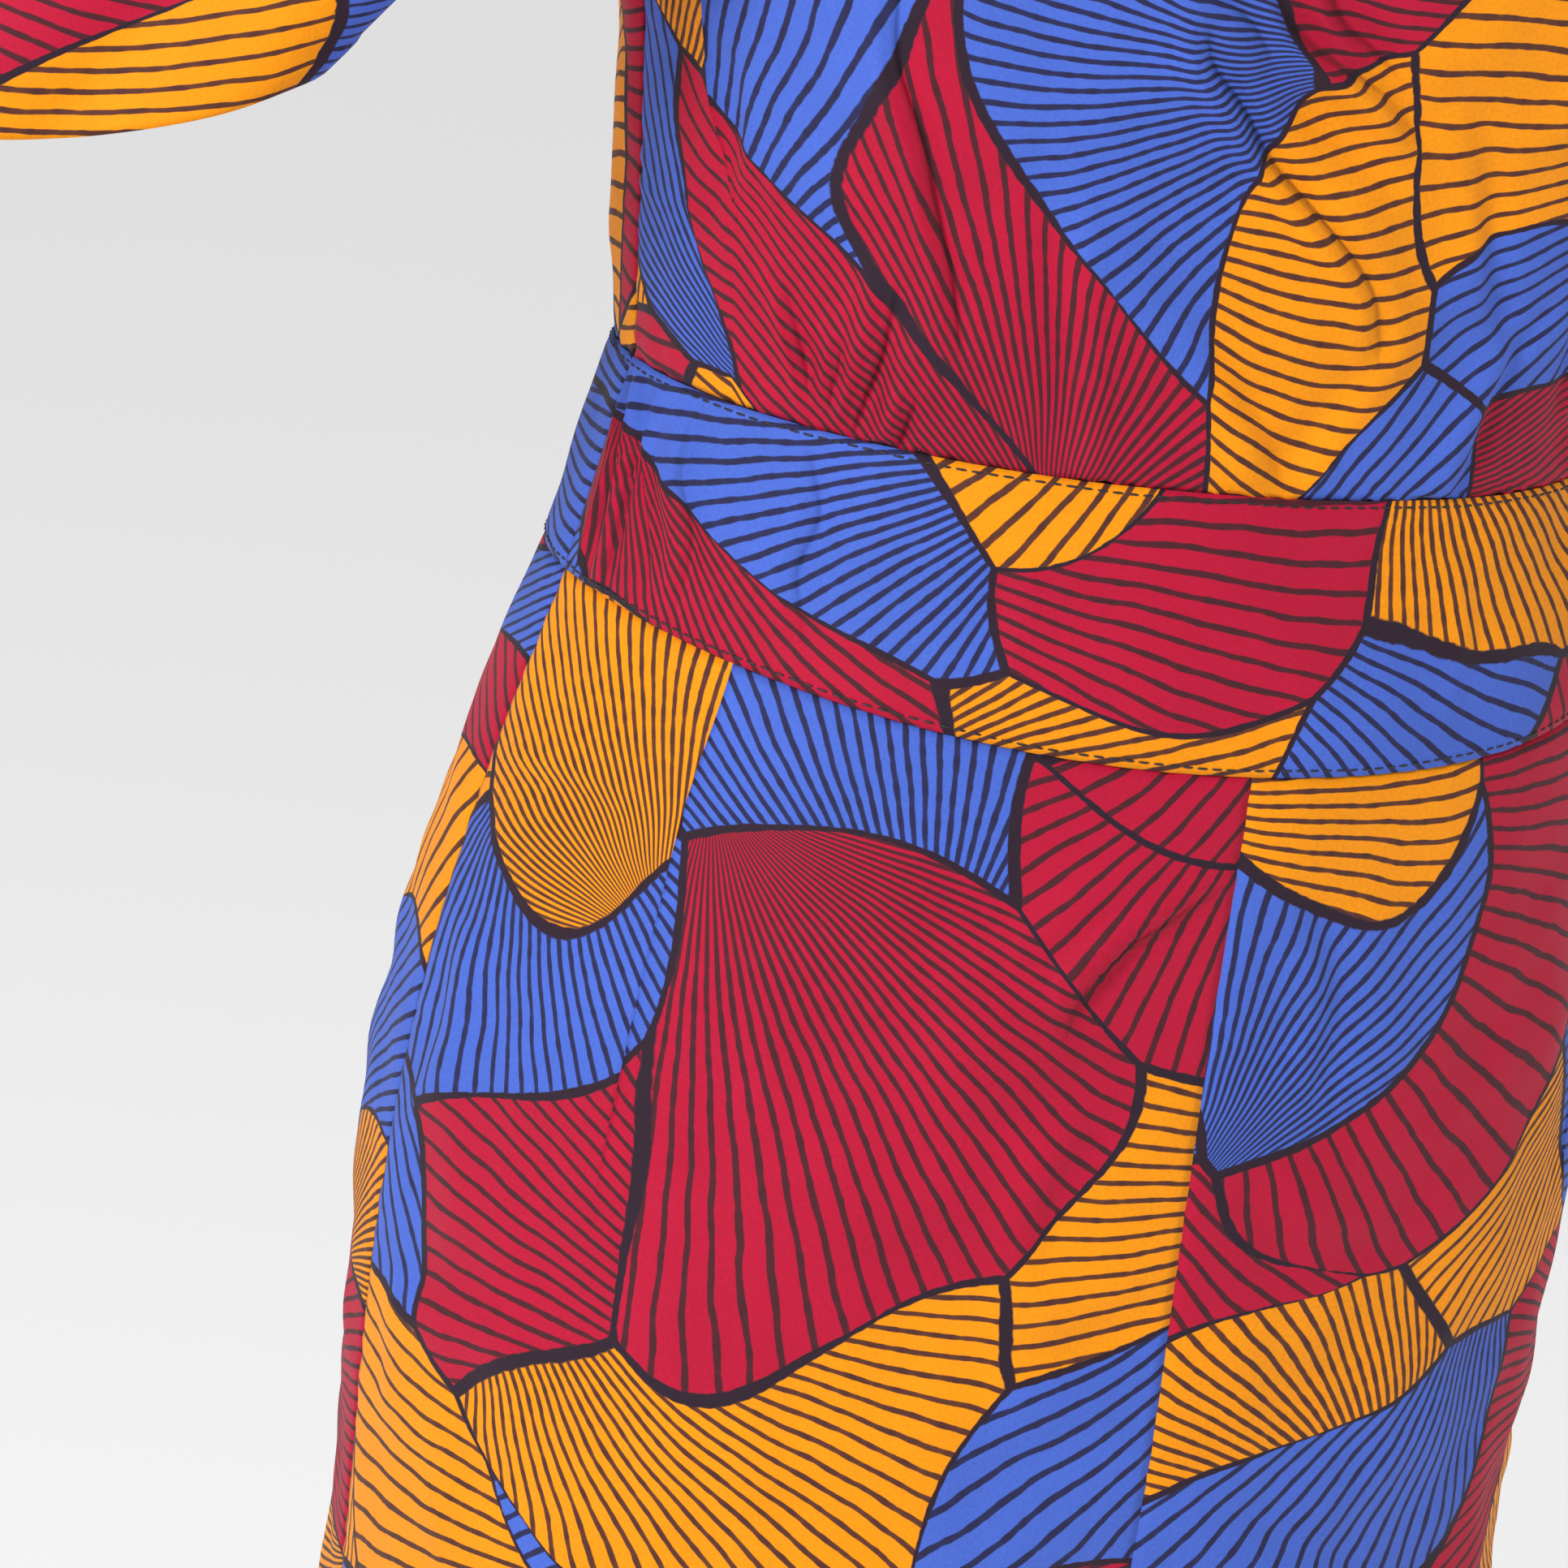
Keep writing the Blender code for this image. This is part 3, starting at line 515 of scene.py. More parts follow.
def bent(grid, smooth, sign, centre, shift, folds, creases, ripple, crotch=None):
    """A panel with its folds, creases and ripples, and the map of its smooth form, cut from
    the cloth at that shift."""
    if folds:
        grid = folded(grid, sign, folds)
    grid, lines = creased(grid, sign, centre, creases)
    return rippled(grid, sign, *ripple), cut_map(smooth, centre, shift, lines, crotch)


def gathered(grid, along, below, away):
    """Waves in and out that the elastic draws up, uneven in depth, fading downwards. The
    armhole seams hold the cloth still where they reach the neckline."""
    phase = 2 * np.pi * HALF_NECK_GATHERS * along
    wave = np.cos(phase) + 0.22 * np.cos(2.63 * phase + 1.0) + 0.12 * np.sin(4.1 * phase)
    from_seam = np.abs(along[:, None] - seam_along).min(axis=-1) * HALF_NECK_GATHERS
    wave *= 1 - np.exp(-(from_seam / GATHER_STILL) ** 2)
    fading = np.exp(-below / (GATHER_FADE * (1 + 0.35 * np.sin(0.31 * phase + 0.7))))
    return grid + away * (GATHER_DEPTH * wave * fading)[..., None]


def seam_ways(points, normal):
    """Outward directions, changed so that two sewn edges turn in together: level along the
    centre seams, where x is 0, and away from the armhole's middle close to an armhole."""
    normal = unit(np.where(np.abs(points[..., :1]) < LEVEL_REACH, normal * (0, 1, 1), normal))
    flip = np.where(points[..., :1] > 0, MIRROR, 1)
    near = np.linalg.norm((points * flip)[..., None, :] - armhole_ring, axis=-1).min(axis=-1)
    share = np.exp(-(near / ARMHOLE_REACH) ** 2)[..., None]
    away = unit(points * flip - armhole_ring.mean(axis=0)) * flip
    return unit(normal * (1 - share) + away * share)


def from_edges(grid):
    """For each edge of a grid, the lengths away from it and those along it."""
    across, down = arcs(grid, 1), arcs(grid, 0)
    return {"top": (down, across), "bottom": (down[-1:] - down, across),
            "first": (across, down), "last": (across[:, -1:] - across, down)}


def sunk(away):
    """Depth at a distance from a seam: a soft roll down to it."""
    return ROLL_DEPTH * np.exp(-(away / ROLL) ** 1.3)


def rolled(grid, sign, seams):
    """Lets the cloth sink towards its seams, as where two pieces are sewn together."""
    near = from_edges(grid)
    depth = np.minimum(sum(sunk(near[name][0]) for name in seams), ROLL_DEPTH)
    return grid - seam_ways(grid, outward(grid, sign)) * depth[..., None]


def puckered(grid, sign, seams, pitch=PUCKER_PITCH, depth=PUCKER_DEPTH, fade=PUCKER_FADE):
    """Small waves along a sewn seam, of uneven length, fading away from it."""
    normal, near = outward(grid, sign), from_edges(grid)
    for name in seams:
        away, along = near[name]
        phase = 2 * np.pi * along / pitch
        wave = np.sin(phase + 1.3 * np.sin(0.37 * phase)) * (0.6 + 0.4 * np.sin(0.21 * phase))
        grid = grid + normal * (depth * wave * np.exp(-away / fade))[..., None]
    return grid


def turned_in(grid, uv, sign, seams):
    """Adds a line to each seamed edge, turned into the garment as its allowance."""
    normal = outward(grid, sign)
    for name in seams:
        axis = 0 if name in ("top", "bottom") else 1
        at, next_at = ([0], [1]) if name in ("top", "first") else ([-1], [-2])
        edge, way = np.take(grid, at, axis=axis), np.take(normal, at, axis=axis)
        way = seam_ways(edge, way)
        next_uv = 2 * np.take(uv, at, axis=axis) - np.take(uv, next_at, axis=axis)
        parts = [(edge - way * TURNED_IN, next_uv, way), (grid, uv, normal)]
        if at == [-1]:
            parts.reverse()
        grid, uv, normal = (np.concatenate(pair, axis=axis) for pair in zip(*parts))
    return grid, uv


def quads(rows, columns, closed):
    """Faces of a grid of points, joined round at its end if closed."""
    r = np.arange(rows - 1)[:, None]
    c = np.arange(columns if closed else columns - 1)[None, :]
    right = (c + 1) % columns
    corners = (r * columns + c, r * columns + right, (r + 1) * columns + right,
               (r + 1) * columns + c)
    return np.stack([np.broadcast_to(k, (rows - 1, c.size)) for k in corners],
                    axis=-1).reshape(-1, 4)


def sewn_mesh(name, points, faces, place, *materials):
    """A smooth mesh, with its corners' places on the cut cloth as its map."""
    mesh = bpy.data.meshes.new(name)
    mesh.from_pydata(points, [], faces)
    if place is not None:
        mesh.uv_layers.new(name="cut").data.foreach_set("uv", place.reshape(-1).astype(np.float32))
    mesh.shade_smooth()
    for material in materials:
        mesh.materials.append(material)
    return mesh


def linked(name, data):
    """Adds an object with that data to the scene."""
    thing = bpy.data.objects.new(name, data)
    bpy.context.scene.collection.objects.link(thing)
    return thing


def worn(mesh):
    """Makes a finished mesh a piece of the garment."""
    piece = linked(mesh.name, mesh)
    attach(piece, "root")
    return piece


def cloth_piece(name, grid, uv, sign, closed=False, thick=CLOTH, darts=()):
    """A closed shell of cloth: the grid, the same grid moved in by its thickness, and its
    rims. The map gives each point's place on the flat cloth. Each dart, a column, a side and
    its widths down the rows, moves the map of the columns on that side."""
    rows, columns = grid.shape[:2]
    count = rows * columns
    number = np.arange(count).reshape(rows, columns)
    outer = quads(rows, columns, closed)
    wrap = np.append(np.arange(columns), 0) if closed else np.arange(columns)
    rims = [number[0, wrap], number[-1, wrap][::-1]]
    if not closed:
        rims += [number[::-1, 0], number[:, -1]]
    faces = np.concatenate([outer, outer[:, (0, 3, 2, 1)] + count] + [
        np.stack([a[:-1], a[:-1] + count, a[1:] + count, a[1:]], axis=1) for a in rims])
    if sign < 0:
        faces = faces[:, ::-1]
    inside = grid - thick * outward(grid, sign, closed)
    place = np.tile(uv[..., :2].reshape(-1, 2), (2, 1))[faces]
    row, column = np.divmod(faces % count, columns)
    if closed:
        seam = (column == 0) & (column.max(axis=1) == columns - 1)[:, None]
        girth = uv[:, -1, 0].max() + (uv[:, -1, 0] - uv[:, -2, 0]).mean()
        place[..., 0] += np.where(seam, girth, 0)
    for at, side, widths in darts:
        moved = (column.mean(axis=1) < at) == (side < 0)
        place[..., 0] += np.where(moved[:, None], side * widths[row], 0)
    mesh = sewn_mesh(name, np.concatenate([grid, inside]).reshape(-1, 3), faces, place,
                     RIGHT_SIDE, WRONG_SIDE)
    # The crease lines, which the print's shader presses as a groove and darkens as painted shade.
    if uv.shape[-1] > 2:
        lines = np.zeros((2, count, 3), np.float32)
        lines[..., :2] = uv[..., 2:].reshape(-1, 2)
        crease = mesh.attributes.new("crease", "FLOAT_VECTOR", "POINT")
        crease.data.foreach_set("vector", lines.reshape(-1))
    wrong = np.zeros(len(faces), np.int32)
    wrong[len(outer):2 * len(outer)] = 1
    mesh.polygons.foreach_set("material_index", wrong)
    mesh.update()
    return worn(mesh)


def dart_columns(steps, dart, rows, edge):
    """Column places from 0 to 1, one of them on the dart's line in every row, with close
    neighbours, and the widths by which the dart takes the cloth in."""
    c = dict(zip(("down", "across", "width"), np.array(dart, float).T))
    t = np.linspace(0, 1, rows)
    line = np.interp(t, c["down"], c["across"])[:, None]
    width = np.interp(t, c["down"], c["width"]) * MM
    base = np.linspace(0, 1, steps + 1)
    k = int(round(line.mean() * steps))
    place = np.where(base <= base[k], base / base[k] * line,
                     line + (base - base[k]) / (1 - base[k]) * (1 - line))
    place[:, k - 1] = line[:, 0] - edge
    place[:, k + 1] = line[:, 0] + edge / 4
    place[:, k + 2] = line[:, 0] + edge
    return place, k, width


def darted(grid, sign, k, fade):
    """Lets the cloth before the dart's column stand over the cloth behind it, as a dart is
    pressed to one side, and draws both in a little."""
    across = arcs(grid, 1)
    away = across - across[:, k:k + 1]
    shape = np.where(away <= 0, DART_RISE * np.exp(away / DART_OVER),
                     -DART_SINK * np.exp(-away / DART_UNDER))
    return raised(grid, sign, MM * shape * fade[:, None])


def neckline_over_arm(front, back):
    """The neckline over the arm, from the front armhole's top to the back one's."""
    t = np.linspace(0, 1, SLEEVE_TOP_STEPS // 2 + 1)
    reach = np.array((0, SLEEVE_TOP_HANDLE, 0))
    front_way = np.array((-np.cos(NECK_TURN), np.sin(NECK_TURN), NECK_RISE))
    back_way = np.array((-np.cos(NECK_TURN), -np.sin(NECK_TURN), NECK_RISE))
    to_outer = bezier(front, front + front_way * SLEEVE_TOP_HANDLE, SLEEVE_OUTER - reach,
                      SLEEVE_OUTER, t)
    to_back = bezier(SLEEVE_OUTER, SLEEVE_OUTER + reach, back + back_way * SLEEVE_TOP_HANDLE,
                     back, t)
    return np.concatenate([to_outer, to_back[1:]])


SLEEVE_TOP_STEPS = 96
SLEEVE_OUTER = np.array((-214, 0, 262)) * MM
SLEEVE_TOP_HANDLE, NECK_TURN, NECK_RISE, ARM_X = 52 * MM, np.radians(20), 0.1, -175 * MM
BACK_YOKE = ((-138, 84, 246, 20, 0, 98, 236, 14, 1),)
BACK_BODICE = (
    (-150, 2, 176, 90, 0, 96, 170, 94, 26),
    (-141, 1, 118, 122, 0, 95, 116, 94, 26),
    (-134, 0, 62, 104, 0, 91, 62, 91, 28),
    (-127, 0, 0, 90, 0, 88, 4, 88, 34),
)
BACK_ARMHOLE = np.array(((0, 46, 4), (-4, -6, -36))) * MM
BACK_STEPS = 84

front_rows = ARMHOLE_STEPS + 1 + sum(row[-1] for row in FRONT_BODICE[:-1])
front_u, dart_column, dart_width = dart_columns(FRONT_STEPS, FRONT_DART, front_rows, DART_EDGE)
back_u = np.linspace(0, 1, BACK_STEPS + 1)[None, :]
front_half = with_bust(eased(bodice_half(FRONT_YOKE, FRONT_BODICE, FRONT_ARMHOLE, -1, front_u),
                             front_u), front_u)
back_half = eased(bodice_half(BACK_YOKE, BACK_BODICE, BACK_ARMHOLE, 1, back_u), back_u)
arm_line = neckline_over_arm(front_half[0, 0], back_half[0, 0])
neckline = np.concatenate([front_half[0, ::-1], arm_line[1:-1], back_half[0]])
neck_along = arcs(neckline, 0)
neck_along /= neck_along[-1]
seam_along = neck_along[[FRONT_STEPS, -BACK_STEPS - 1]]


def level_away(points, centre_x):
    """Level unit directions away from an upright line."""
    away = points - np.array((centre_x, 0, 0))
    away[..., 2] = 0
    return unit(away)


def neck_gathered(half, along):
    """A bodice panel with the elastic's gathers in it, below the neckline."""
    below = np.linalg.norm(half - half[:1], axis=-1)
    return gathered(half, along, below, level_away(half, 0))


front_gathered = neck_gathered(front_half, neck_along[:FRONT_STEPS + 1][::-1])
back_gathered = neck_gathered(back_half, neck_along[-BACK_STEPS - 1:])
armhole_ring = np.concatenate([front_gathered[:ARMHOLE_STEPS + 1, 0],
                               back_gathered[:ARMHOLE_STEPS + 1, 0]])
dart_fade = np.interp(np.linspace(0, 1, front_rows), *FRONT_DART_FADE)
front_gathered = darted(front_gathered, 1, dart_column, dart_fade)
front, front_map = bent(whole(front_gathered), whole(front_half), 1, FRONT_STEPS, (0.31, 0.93),
                        FRONT_BODICE_FOLDS, FRONT_BODICE_CREASES, (1.0, 0.0))
front = rolled(puckered(front, 1, SIDES[1:]), 1, SIDES)
front, front_map = turned_in(front, front_map, 1, SIDES)
dart_width = np.concatenate([[0], dart_width, [0]])
bodice_front = cloth_piece("bodice_front_cloth", front, front_map, 1, darts=(
    (dart_column + 1, -1, dart_width), (2 * FRONT_STEPS - dart_column + 1, 1, dart_width)))
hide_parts("bodice_front")

# Bodice backs. Two panels of the same cotton, gathered at the neckline and eased into the
# waistband as the front is, and closed by the seam down the centre back.
BACK_BODICE_FOLDS = (
    (-118, 112, -92, 30, 14, 2.2),
    (-64, 108, -30, 34, 14, -1.8),
    (56, 104, 104, 40, 14, 2.2),
)
BACK_BODICE_CREASES = (
    (4, 1.4, (-128, 214), (-112, 236), (-104, 258), (-106, 276)),
    (3.4, -1.2, (-92, 226), (-86, 246), (-88, 270)),
    (4.6, 1.3, (-118, 140), (-96, 160), (-66, 176), (-40, 200)),
    (4.6, -1.2, (-44, 176), (-30, 204), (-22, 236)),
    (4, 1.2, (-60, 236), (-50, 252), (-48, 270)),
    (4, 1.4, (24, 180), (36, 206), (52, 226), (58, 254)),
    (3.4, -1.3, (90, 224), (84, 246), (88, 268)),
    (4.6, 1.2, (118, 146), (98, 168), (72, 180), (56, 202)),
    (4.4, 1.3, (124, 206), (110, 232), (106, 264)),
    (4, -1.1, (30, 236), (40, 252), (38, 268)),
)
for name, flip, centre, shift, start in (("right", False, BACK_STEPS, (0.92, 1.52), 0.6),
                                         ("left", True, 0, (1.71, 1.10), 1.7)):
    back, smooth = (mirrored(half) if flip else half for half in (back_gathered, back_half))
    back, back_map = bent(back, smooth, -1, centre, shift, BACK_BODICE_FOLDS,
                          BACK_BODICE_CREASES, (1.0, start))
    back = rolled(puckered(back, -1, SIDES[1:]), -1, SIDES)
    back, back_map = turned_in(back, back_map, -1, SIDES)
    piece = cloth_piece(f"bodice_back_{name}_cloth", back, back_map, -1)
    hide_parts(f"bodice_back_{name}")

# Waistband. A wide shaped band of two layers, cut in a front and two backs, which dips at
# the centre front. It is sewn to bodice and trousers and topstitched in black thread along
# both edges.
BAND_RISE, BAND_CLOTH = 0.45 * MM, 0.9 * MM
BAND_FRONT_STEPS, BAND_BACK_STEPS = 88, 80
FRONT_BAND = FRONT_BODICE[-1:] + (
    (-137, 0, -53, 90, 0, -108, -67, 108, 20),
    (-151, 2, -110, 90, 0, -110, -122, 112, 20),
)
BACK_BAND = BACK_BODICE[-1:] + (
    (-137, 0, -53, 90, 0, 98, -46, 98, 20),
    (-151, 2, -110, 92, 0, 115, -108, 113, 20),
)
BAND_CREASES = (
    (2.2, 1.7, (-171, 2), (-173, 19), (-174, 33), (-178, 54)),
    (2, -1.4, (-164, 3), (-167, 18), (-162, 30), (-158, 50)),
    (2, 1.4, (-179, 2), (-179, 20), (-183, 35), (-188, 54)),
    (2.6, 1.0, (-150, 6), (-153, 20), (-149, 34), (-152, 54)),
    (3, 1.0, (-118, 4), (-114, 18), (-119, 33), (-116, 50)),
    (4, 0.5, (-149, 16), (-150, 34), (-146, 52)),
    (4, -0.4, (-70, 6), (-66, 30), (-72, 58)),
    (2.2, 0.9, (172, 4), (174, 20), (171, 36), (176, 54)),
    (2, -0.8, (179, 4), (179, 20), (184, 42), (186, 54)),
    (3, 0.5, (110, 6), (106, 24), (112, 52)),
    (4, 0.4, (50, 10), (58, 34), (52, 60)),
)
STITCH_LENGTH, STITCH_PITCH, STITCH_RADIUS = 2.9 * MM, 3.7 * MM, 0.28 * MM
STITCH_IN, STITCH_WANDER, WANDER_LENGTH, STITCH_SIDES = 1.7 * MM, 0.12 * MM, 7 * MM, 6
STITCH_PROFILE = ((-0.5, 0.15, -1.0), (-0.42, 0.75, -0.1), (-0.2, 1, 0.45), (0.2, 1, 0.45),
                  (0.42, 0.75, -0.1), (0.5, 0.15, -1.0))


def band_grid(rows, facing, steps):
    """The band between its first two rows. The third, on the trousers, shapes its lower edge."""
    u = np.linspace(0, 1, steps + 1)[None, :]
    return even_rows(named(ROW_COLUMNS, rows), facing, u)[:rows[0][-1] + 1]


def uneven(tree, scale, first, second):
    """A colour that drifts between two by soft noise."""
    place = node("TexCoord", {}, tree).outputs["Object"]
    lumps = node("TexNoise", {"Scale": scale, "Vector": place}).outputs["Fac"]
    return mixed(lumps, first, second)


def polyester_thread(tree):
    """Black polyester thread, with a slight sheen on its twist."""
    return {"Base Color": uneven(tree, 3500, (0.006, 0.005, 0.008), (0.030, 0.024, 0.034)),
            "Roughness": 0.5}


THREAD = material_of("black_thread", polyester_thread)


def along_line(values, length, at):
    """Points or directions given at lengths along a line, read at other lengths."""
    return np.stack([np.interp(at, length, values[:, k]) for k in range(3)], axis=1)


def stitches(name, lines):
    """A row of stitches along each line of points with its outward directions: each stitch
    is a thin capsule, sunk at both ends. The profile gives its rings' places along it, their
    radii and their heights."""
    rows = []
    for points, out in lines:
        length = arcs(points, 0)
        at = np.arange(STITCH_PITCH / 2, length[-1], STITCH_PITCH)
        centre, way, up = (along_line(values, length, at)
                           for values in (points, np.gradient(points, axis=0), out))
        way, up = unit(way), unit(up)
        wander = STITCH_WANDER * np.sin(at / WANDER_LENGTH)
        rows.append((centre + np.cross(way, up) * wander[:, None], way, up))
    centre, way, up = (np.concatenate(parts)[:, None, None] for parts in zip(*rows))
    along, radius, lift = np.array(STITCH_PROFILE).T[:, None, :, None, None]
    turn = (np.arange(STITCH_SIDES) * 2 * np.pi / STITCH_SIDES)[:, None]
    points = (centre + way * STITCH_LENGTH * along + up * STITCH_RADIUS * lift
              + STITCH_RADIUS * radius * (np.cross(way, up) * np.cos(turn) + up * np.sin(turn)))
    rings = len(STITCH_PROFILE)
    first = np.arange(len(centre))[:, None] * rings * STITCH_SIDES
    faces = (quads(rings, STITCH_SIDES, True) + first[..., None]).reshape(-1, 4)
    cap = np.arange(STITCH_SIDES)
    caps = np.concatenate([first + cap[::-1], first + (rings - 1) * STITCH_SIDES + cap])
    mesh = sewn_mesh(name, points.reshape(-1, 3), faces.tolist() + caps.tolist(), None, THREAD)
    return worn(mesh)


def edge_line(grid, sign, inside, last):
    """Points a set distance inside a grid's first or last row, with outward directions."""
    if last:
        grid, sign = grid[::-1], -sign
    length, normal = arcs(grid, 0), outward(grid, sign)
    k, i = np.argmax(length > inside, axis=0), np.arange(grid.shape[1])
    t = ((inside - length[k - 1, i]) / (length[k, i] - length[k - 1, i]))[:, None]
    return (grid[k - 1, i] * (1 - t) + grid[k, i] * t,
            unit(normal[k - 1, i] * (1 - t) + normal[k, i] * t))


front_band = whole(band_grid(FRONT_BAND, -1, BAND_FRONT_STEPS))
back_band = band_grid(BACK_BAND, 1, BAND_BACK_STEPS)
for name, grid, sign, centre, shift, creases, flat, area in (
        ("front", front_band, 1, BAND_FRONT_STEPS, (0.52, 1.31), BAND_CREASES, (0.37, 0.09),
         0.0235),
        ("back_right", back_band, -1, BAND_BACK_STEPS, (1.33, 0.62), (), (0.19, 0.065), 0.0100),
        ("back_left", mirrored(back_band), -1, 0, (0.18, 1.84), (), (0.19, 0.065), 0.0100)):
    grid = grid + outward(grid, sign) * BAND_RISE
    grid, band_map = bent(grid, grid, sign, centre, shift, (), creases, (0.7, 2.4 + shift[0]))
    grid = rolled(puckered(grid, sign, SIDES[:2], 7 * MM, 0.16 * MM, 5 * MM), sign, SIDES)
    rows_of_thread = [edge_line(grid, sign, STITCH_IN, last) for last in (False, True)]
    grid, band_map = turned_in(grid, band_map, sign, SIDES)
    piece = cloth_piece(f"waistband_{name}_cloth", grid, band_map, sign,
                        thick=BAND_CLOTH)
    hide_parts(f"waistband_{name}")
    thread = stitches(f"waistband_{name}_topstitching", rows_of_thread)

# Trousers. Four leg panels, front and back of each side, sewn at the outside leg, the inside
# leg and the centre seams. Each front has a long dart below the waistband. They hang
# straight from the hip, with soft drag lines from the crotch and breaks at the knee.
FRONT_HIPS = FRONT_BAND + (
    (-160, 4, -172, 90, 0, -114, -185, 118, 18),
    (-161, 8, -230, 91, 0, -118, -245, 126, 14),
    (-157, 14, -272, 93, 0, -118, -292, 132, 11),
    (-153, 20, -305, 95, 0, -104, -322, 144, 10),
    (-151, 23, -328, 96, 0, -66, -340, 144, 10),
    (-150, 25, -346, 97, 0, 10, -348, 140, 16),
    (-151, 25, -410, 97, -5, 10, -408, 134, 34),
    (-157, 22, -600, 96, -17, 8, -598, 119, 36),
    (-166, 19, -810, 96, -26, 6, -810, 114, 40),
    (-175, 18, -1035, 96, -32, 4, -1035, 114, 1),
)
BACK_HIPS = BACK_BAND + (
    (-160, 4, -172, 91, 0, 126, -176, 122, 18),
    (-161, 8, -230, 88, 0, 130, -238, 122, 14),
    (-157, 14, -272, 86, 0, 128, -288, 114, 11),
    (-153, 20, -305, 84, 0, 112, -322, 109, 10),
    (-151, 23, -328, 83, 0, 72, -340, 97, 10),
    (-150, 25, -346, 83, 0, 10, -348, 94, 16),
    (-151, 25, -410, 83, -5, 10, -408, 88, 34),
    (-157, 22, -600, 84, -17, 8, -598, 80, 36),
    (-166, 19, -810, 84, -26, 6, -810, 78, 40),
    (-175, 18, -1035, 84, -32, 4, -1035, 78, 1),
)
LEG_STEPS = 92
TROUSER_DART = ((0.0, 0.372, 15), (0.05, 0.369, 11), (0.10, 0.386, 6), (0.16, 0.395, 2),
                (0.20, 0.388, 0))
FRONT_LEG_FOLDS = (
    (-58, -136, 22, -66, 13, 2.4),
    (-96, -300, -22, -262, 14, 2.6),
    (96, -300, 26, -262, 14, 2.6),
    (-116, -392, -52, -366, 15, -2.0),
    (114, -396, 54, -368, 15, -2.0),
    (-126, -560, -58, -598, 18, 3.0),
    (122, -580, 60, -610, 18, 3.0),
    (-134, -900, -76, -936, 20, 2.6),
    (138, -886, 80, -930, 20, 2.6),
)
BACK_LEG_FOLDS = (
    (-108, -352, -44, -392, 15, 2.2),
    (108, -350, 46, -392, 15, 2.2),
    (-124, -570, -52, -552, 17, 3.0),
    (120, -556, 50, -540, 17, 3.0),
    (-130, -640, -60, -618, 17, -2.6),
    (128, -632, 62, -612, 17, -2.6),
    (-146, -930, -80, -910, 20, 2.6),
    (144, -922, 84, -906, 20, 2.6),
)
FRONT_LEG_CREASES = (
    (3.6, 2.2, (-4, 22), (-18, 32), (-27, 38), (-34, 46), (-39, 54), (-43, 66)),
    (5, 1.0, (-12, 14), (-28, 26), (-42, 36), (-54, 52)),
    (5, 1.2, (-22, 74), (-34, 92), (-39, 100), (-42, 112), (-40, 130)),
    (7, 1.0, (-3, 118), (-25, 130), (-54, 143)),
    (6, 1.1, (-216, 150), (-202, 126), (-198, 110), (-200, 88)),
    (4, -0.8, (-200, 52), (-173, 47), (-150, 45)),
    (8, 1.1, (-222, 198), (-183, 186), (-144, 170)),
    (7, 1.3, (-14, 190), (-52, 206), (-94, 230)),
    (7, -1.5, (-10, 218), (-44, 236), (-84, 266)),
    (8, 1.5, (-14, 246), (-46, 268), (-96, 306)),
    (8, 1.2, (-206, 250), (-176, 288), (-150, 330)),
    (8, 2.2, (-18, 500), (-70, 516), (-130, 506)),
    (8, -2.2, (-30, 544), (-80, 560), (-154, 540)),
    (9, 1.9, (-64, 580), (-110, 598), (-176, 586)),
    (12, 1.6, (-124, 690), (-100, 780), (-96, 862)),
    (9, -1.9, (-30, 880), (-84, 902), (-156, 890)),
    (9, 1.7, (-60, 928), (-120, 944), (-196, 932)),
    (5, 1.1, (8, 30), (22, 44), (28, 62), (26, 84)),
    (6, -1.1, (14, 104), (40, 122), (72, 126)),
    (6, 1.2, (214, 130), (200, 110), (198, 84)),
    (8, 1.2, (220, 210), (186, 196), (150, 190)),
    (7, 1.4, (12, 196), (46, 208), (88, 240)),
    (7, -1.4, (14, 226), (40, 240), (86, 274)),
    (8, 1.5, (16, 262), (54, 280), (100, 322)),
    (8, 2.2, (24, 516), (74, 528), (140, 512)),
    (8, -2.1, (40, 560), (96, 566), (160, 548)),
    (9, 1.8, (80, 604), (130, 612), (190, 596)),
    (12, 1.6, (134, 700), (112, 780), (118, 850)),
    (9, -1.8, (40, 894), (96, 906), (166, 900)),
    (9, 1.7, (60, 944), (126, 948), (204, 940)),
)
BACK_LEG_CREASES = (
    (7, -1.6, (-16, 276), (-56, 300), (-110, 318)),
    (8, 1.8, (-22, 316), (-70, 330), (-130, 322)),
    (7, 1.3, (-30, 352), (-84, 372), (-130, 392)),
    (7, 1.2, (-196, 120), (-176, 148), (-172, 184)),
    (6, -0.9, (-60, 24), (-70, 60), (-66, 98)),
    (8, 2.2, (-16, 492), (-70, 480), (-130, 494)),
    (8, -2.2, (-20, 534), (-80, 522), (-140, 540)),
    (9, 2.0, (-30, 584), (-90, 572), (-144, 588)),
    (8, -1.6, (-60, 628), (-110, 620), (-160, 636)),
    (12, 1.5, (-70, 720), (-84, 790), (-76, 850)),
    (9, 1.9, (-20, 900), (-80, 888), (-150, 902)),
    (9, -1.7, (-40, 944), (-100, 934), (-170, 946)),
    (7, -1.6, (14, 280), (60, 306), (108, 316)),
    (8, 1.8, (26, 324), (76, 334), (136, 318)),
    (7, 1.3, (30, 362), (76, 378), (120, 402)),
    (7, 1.2, (194, 132), (178, 160), (176, 196)),
    (6, 1.0, (52, 30), (64, 70), (58, 112)),
    (8, 2.2, (18, 480), (76, 470), (136, 486)),
    (8, -2.2, (24, 522), (86, 516), (146, 530)),
    (9, 2.0, (26, 570), (92, 562), (150, 580)),
    (8, -1.6, (64, 616), (116, 612), (166, 628)),
    (12, 1.5, (90, 710), (98, 780), (86, 846)),
    (9, 1.8, (28, 906), (90, 894), (160, 908)),
    (9, -1.7, (46, 950), (110, 940), (180, 952)),
)
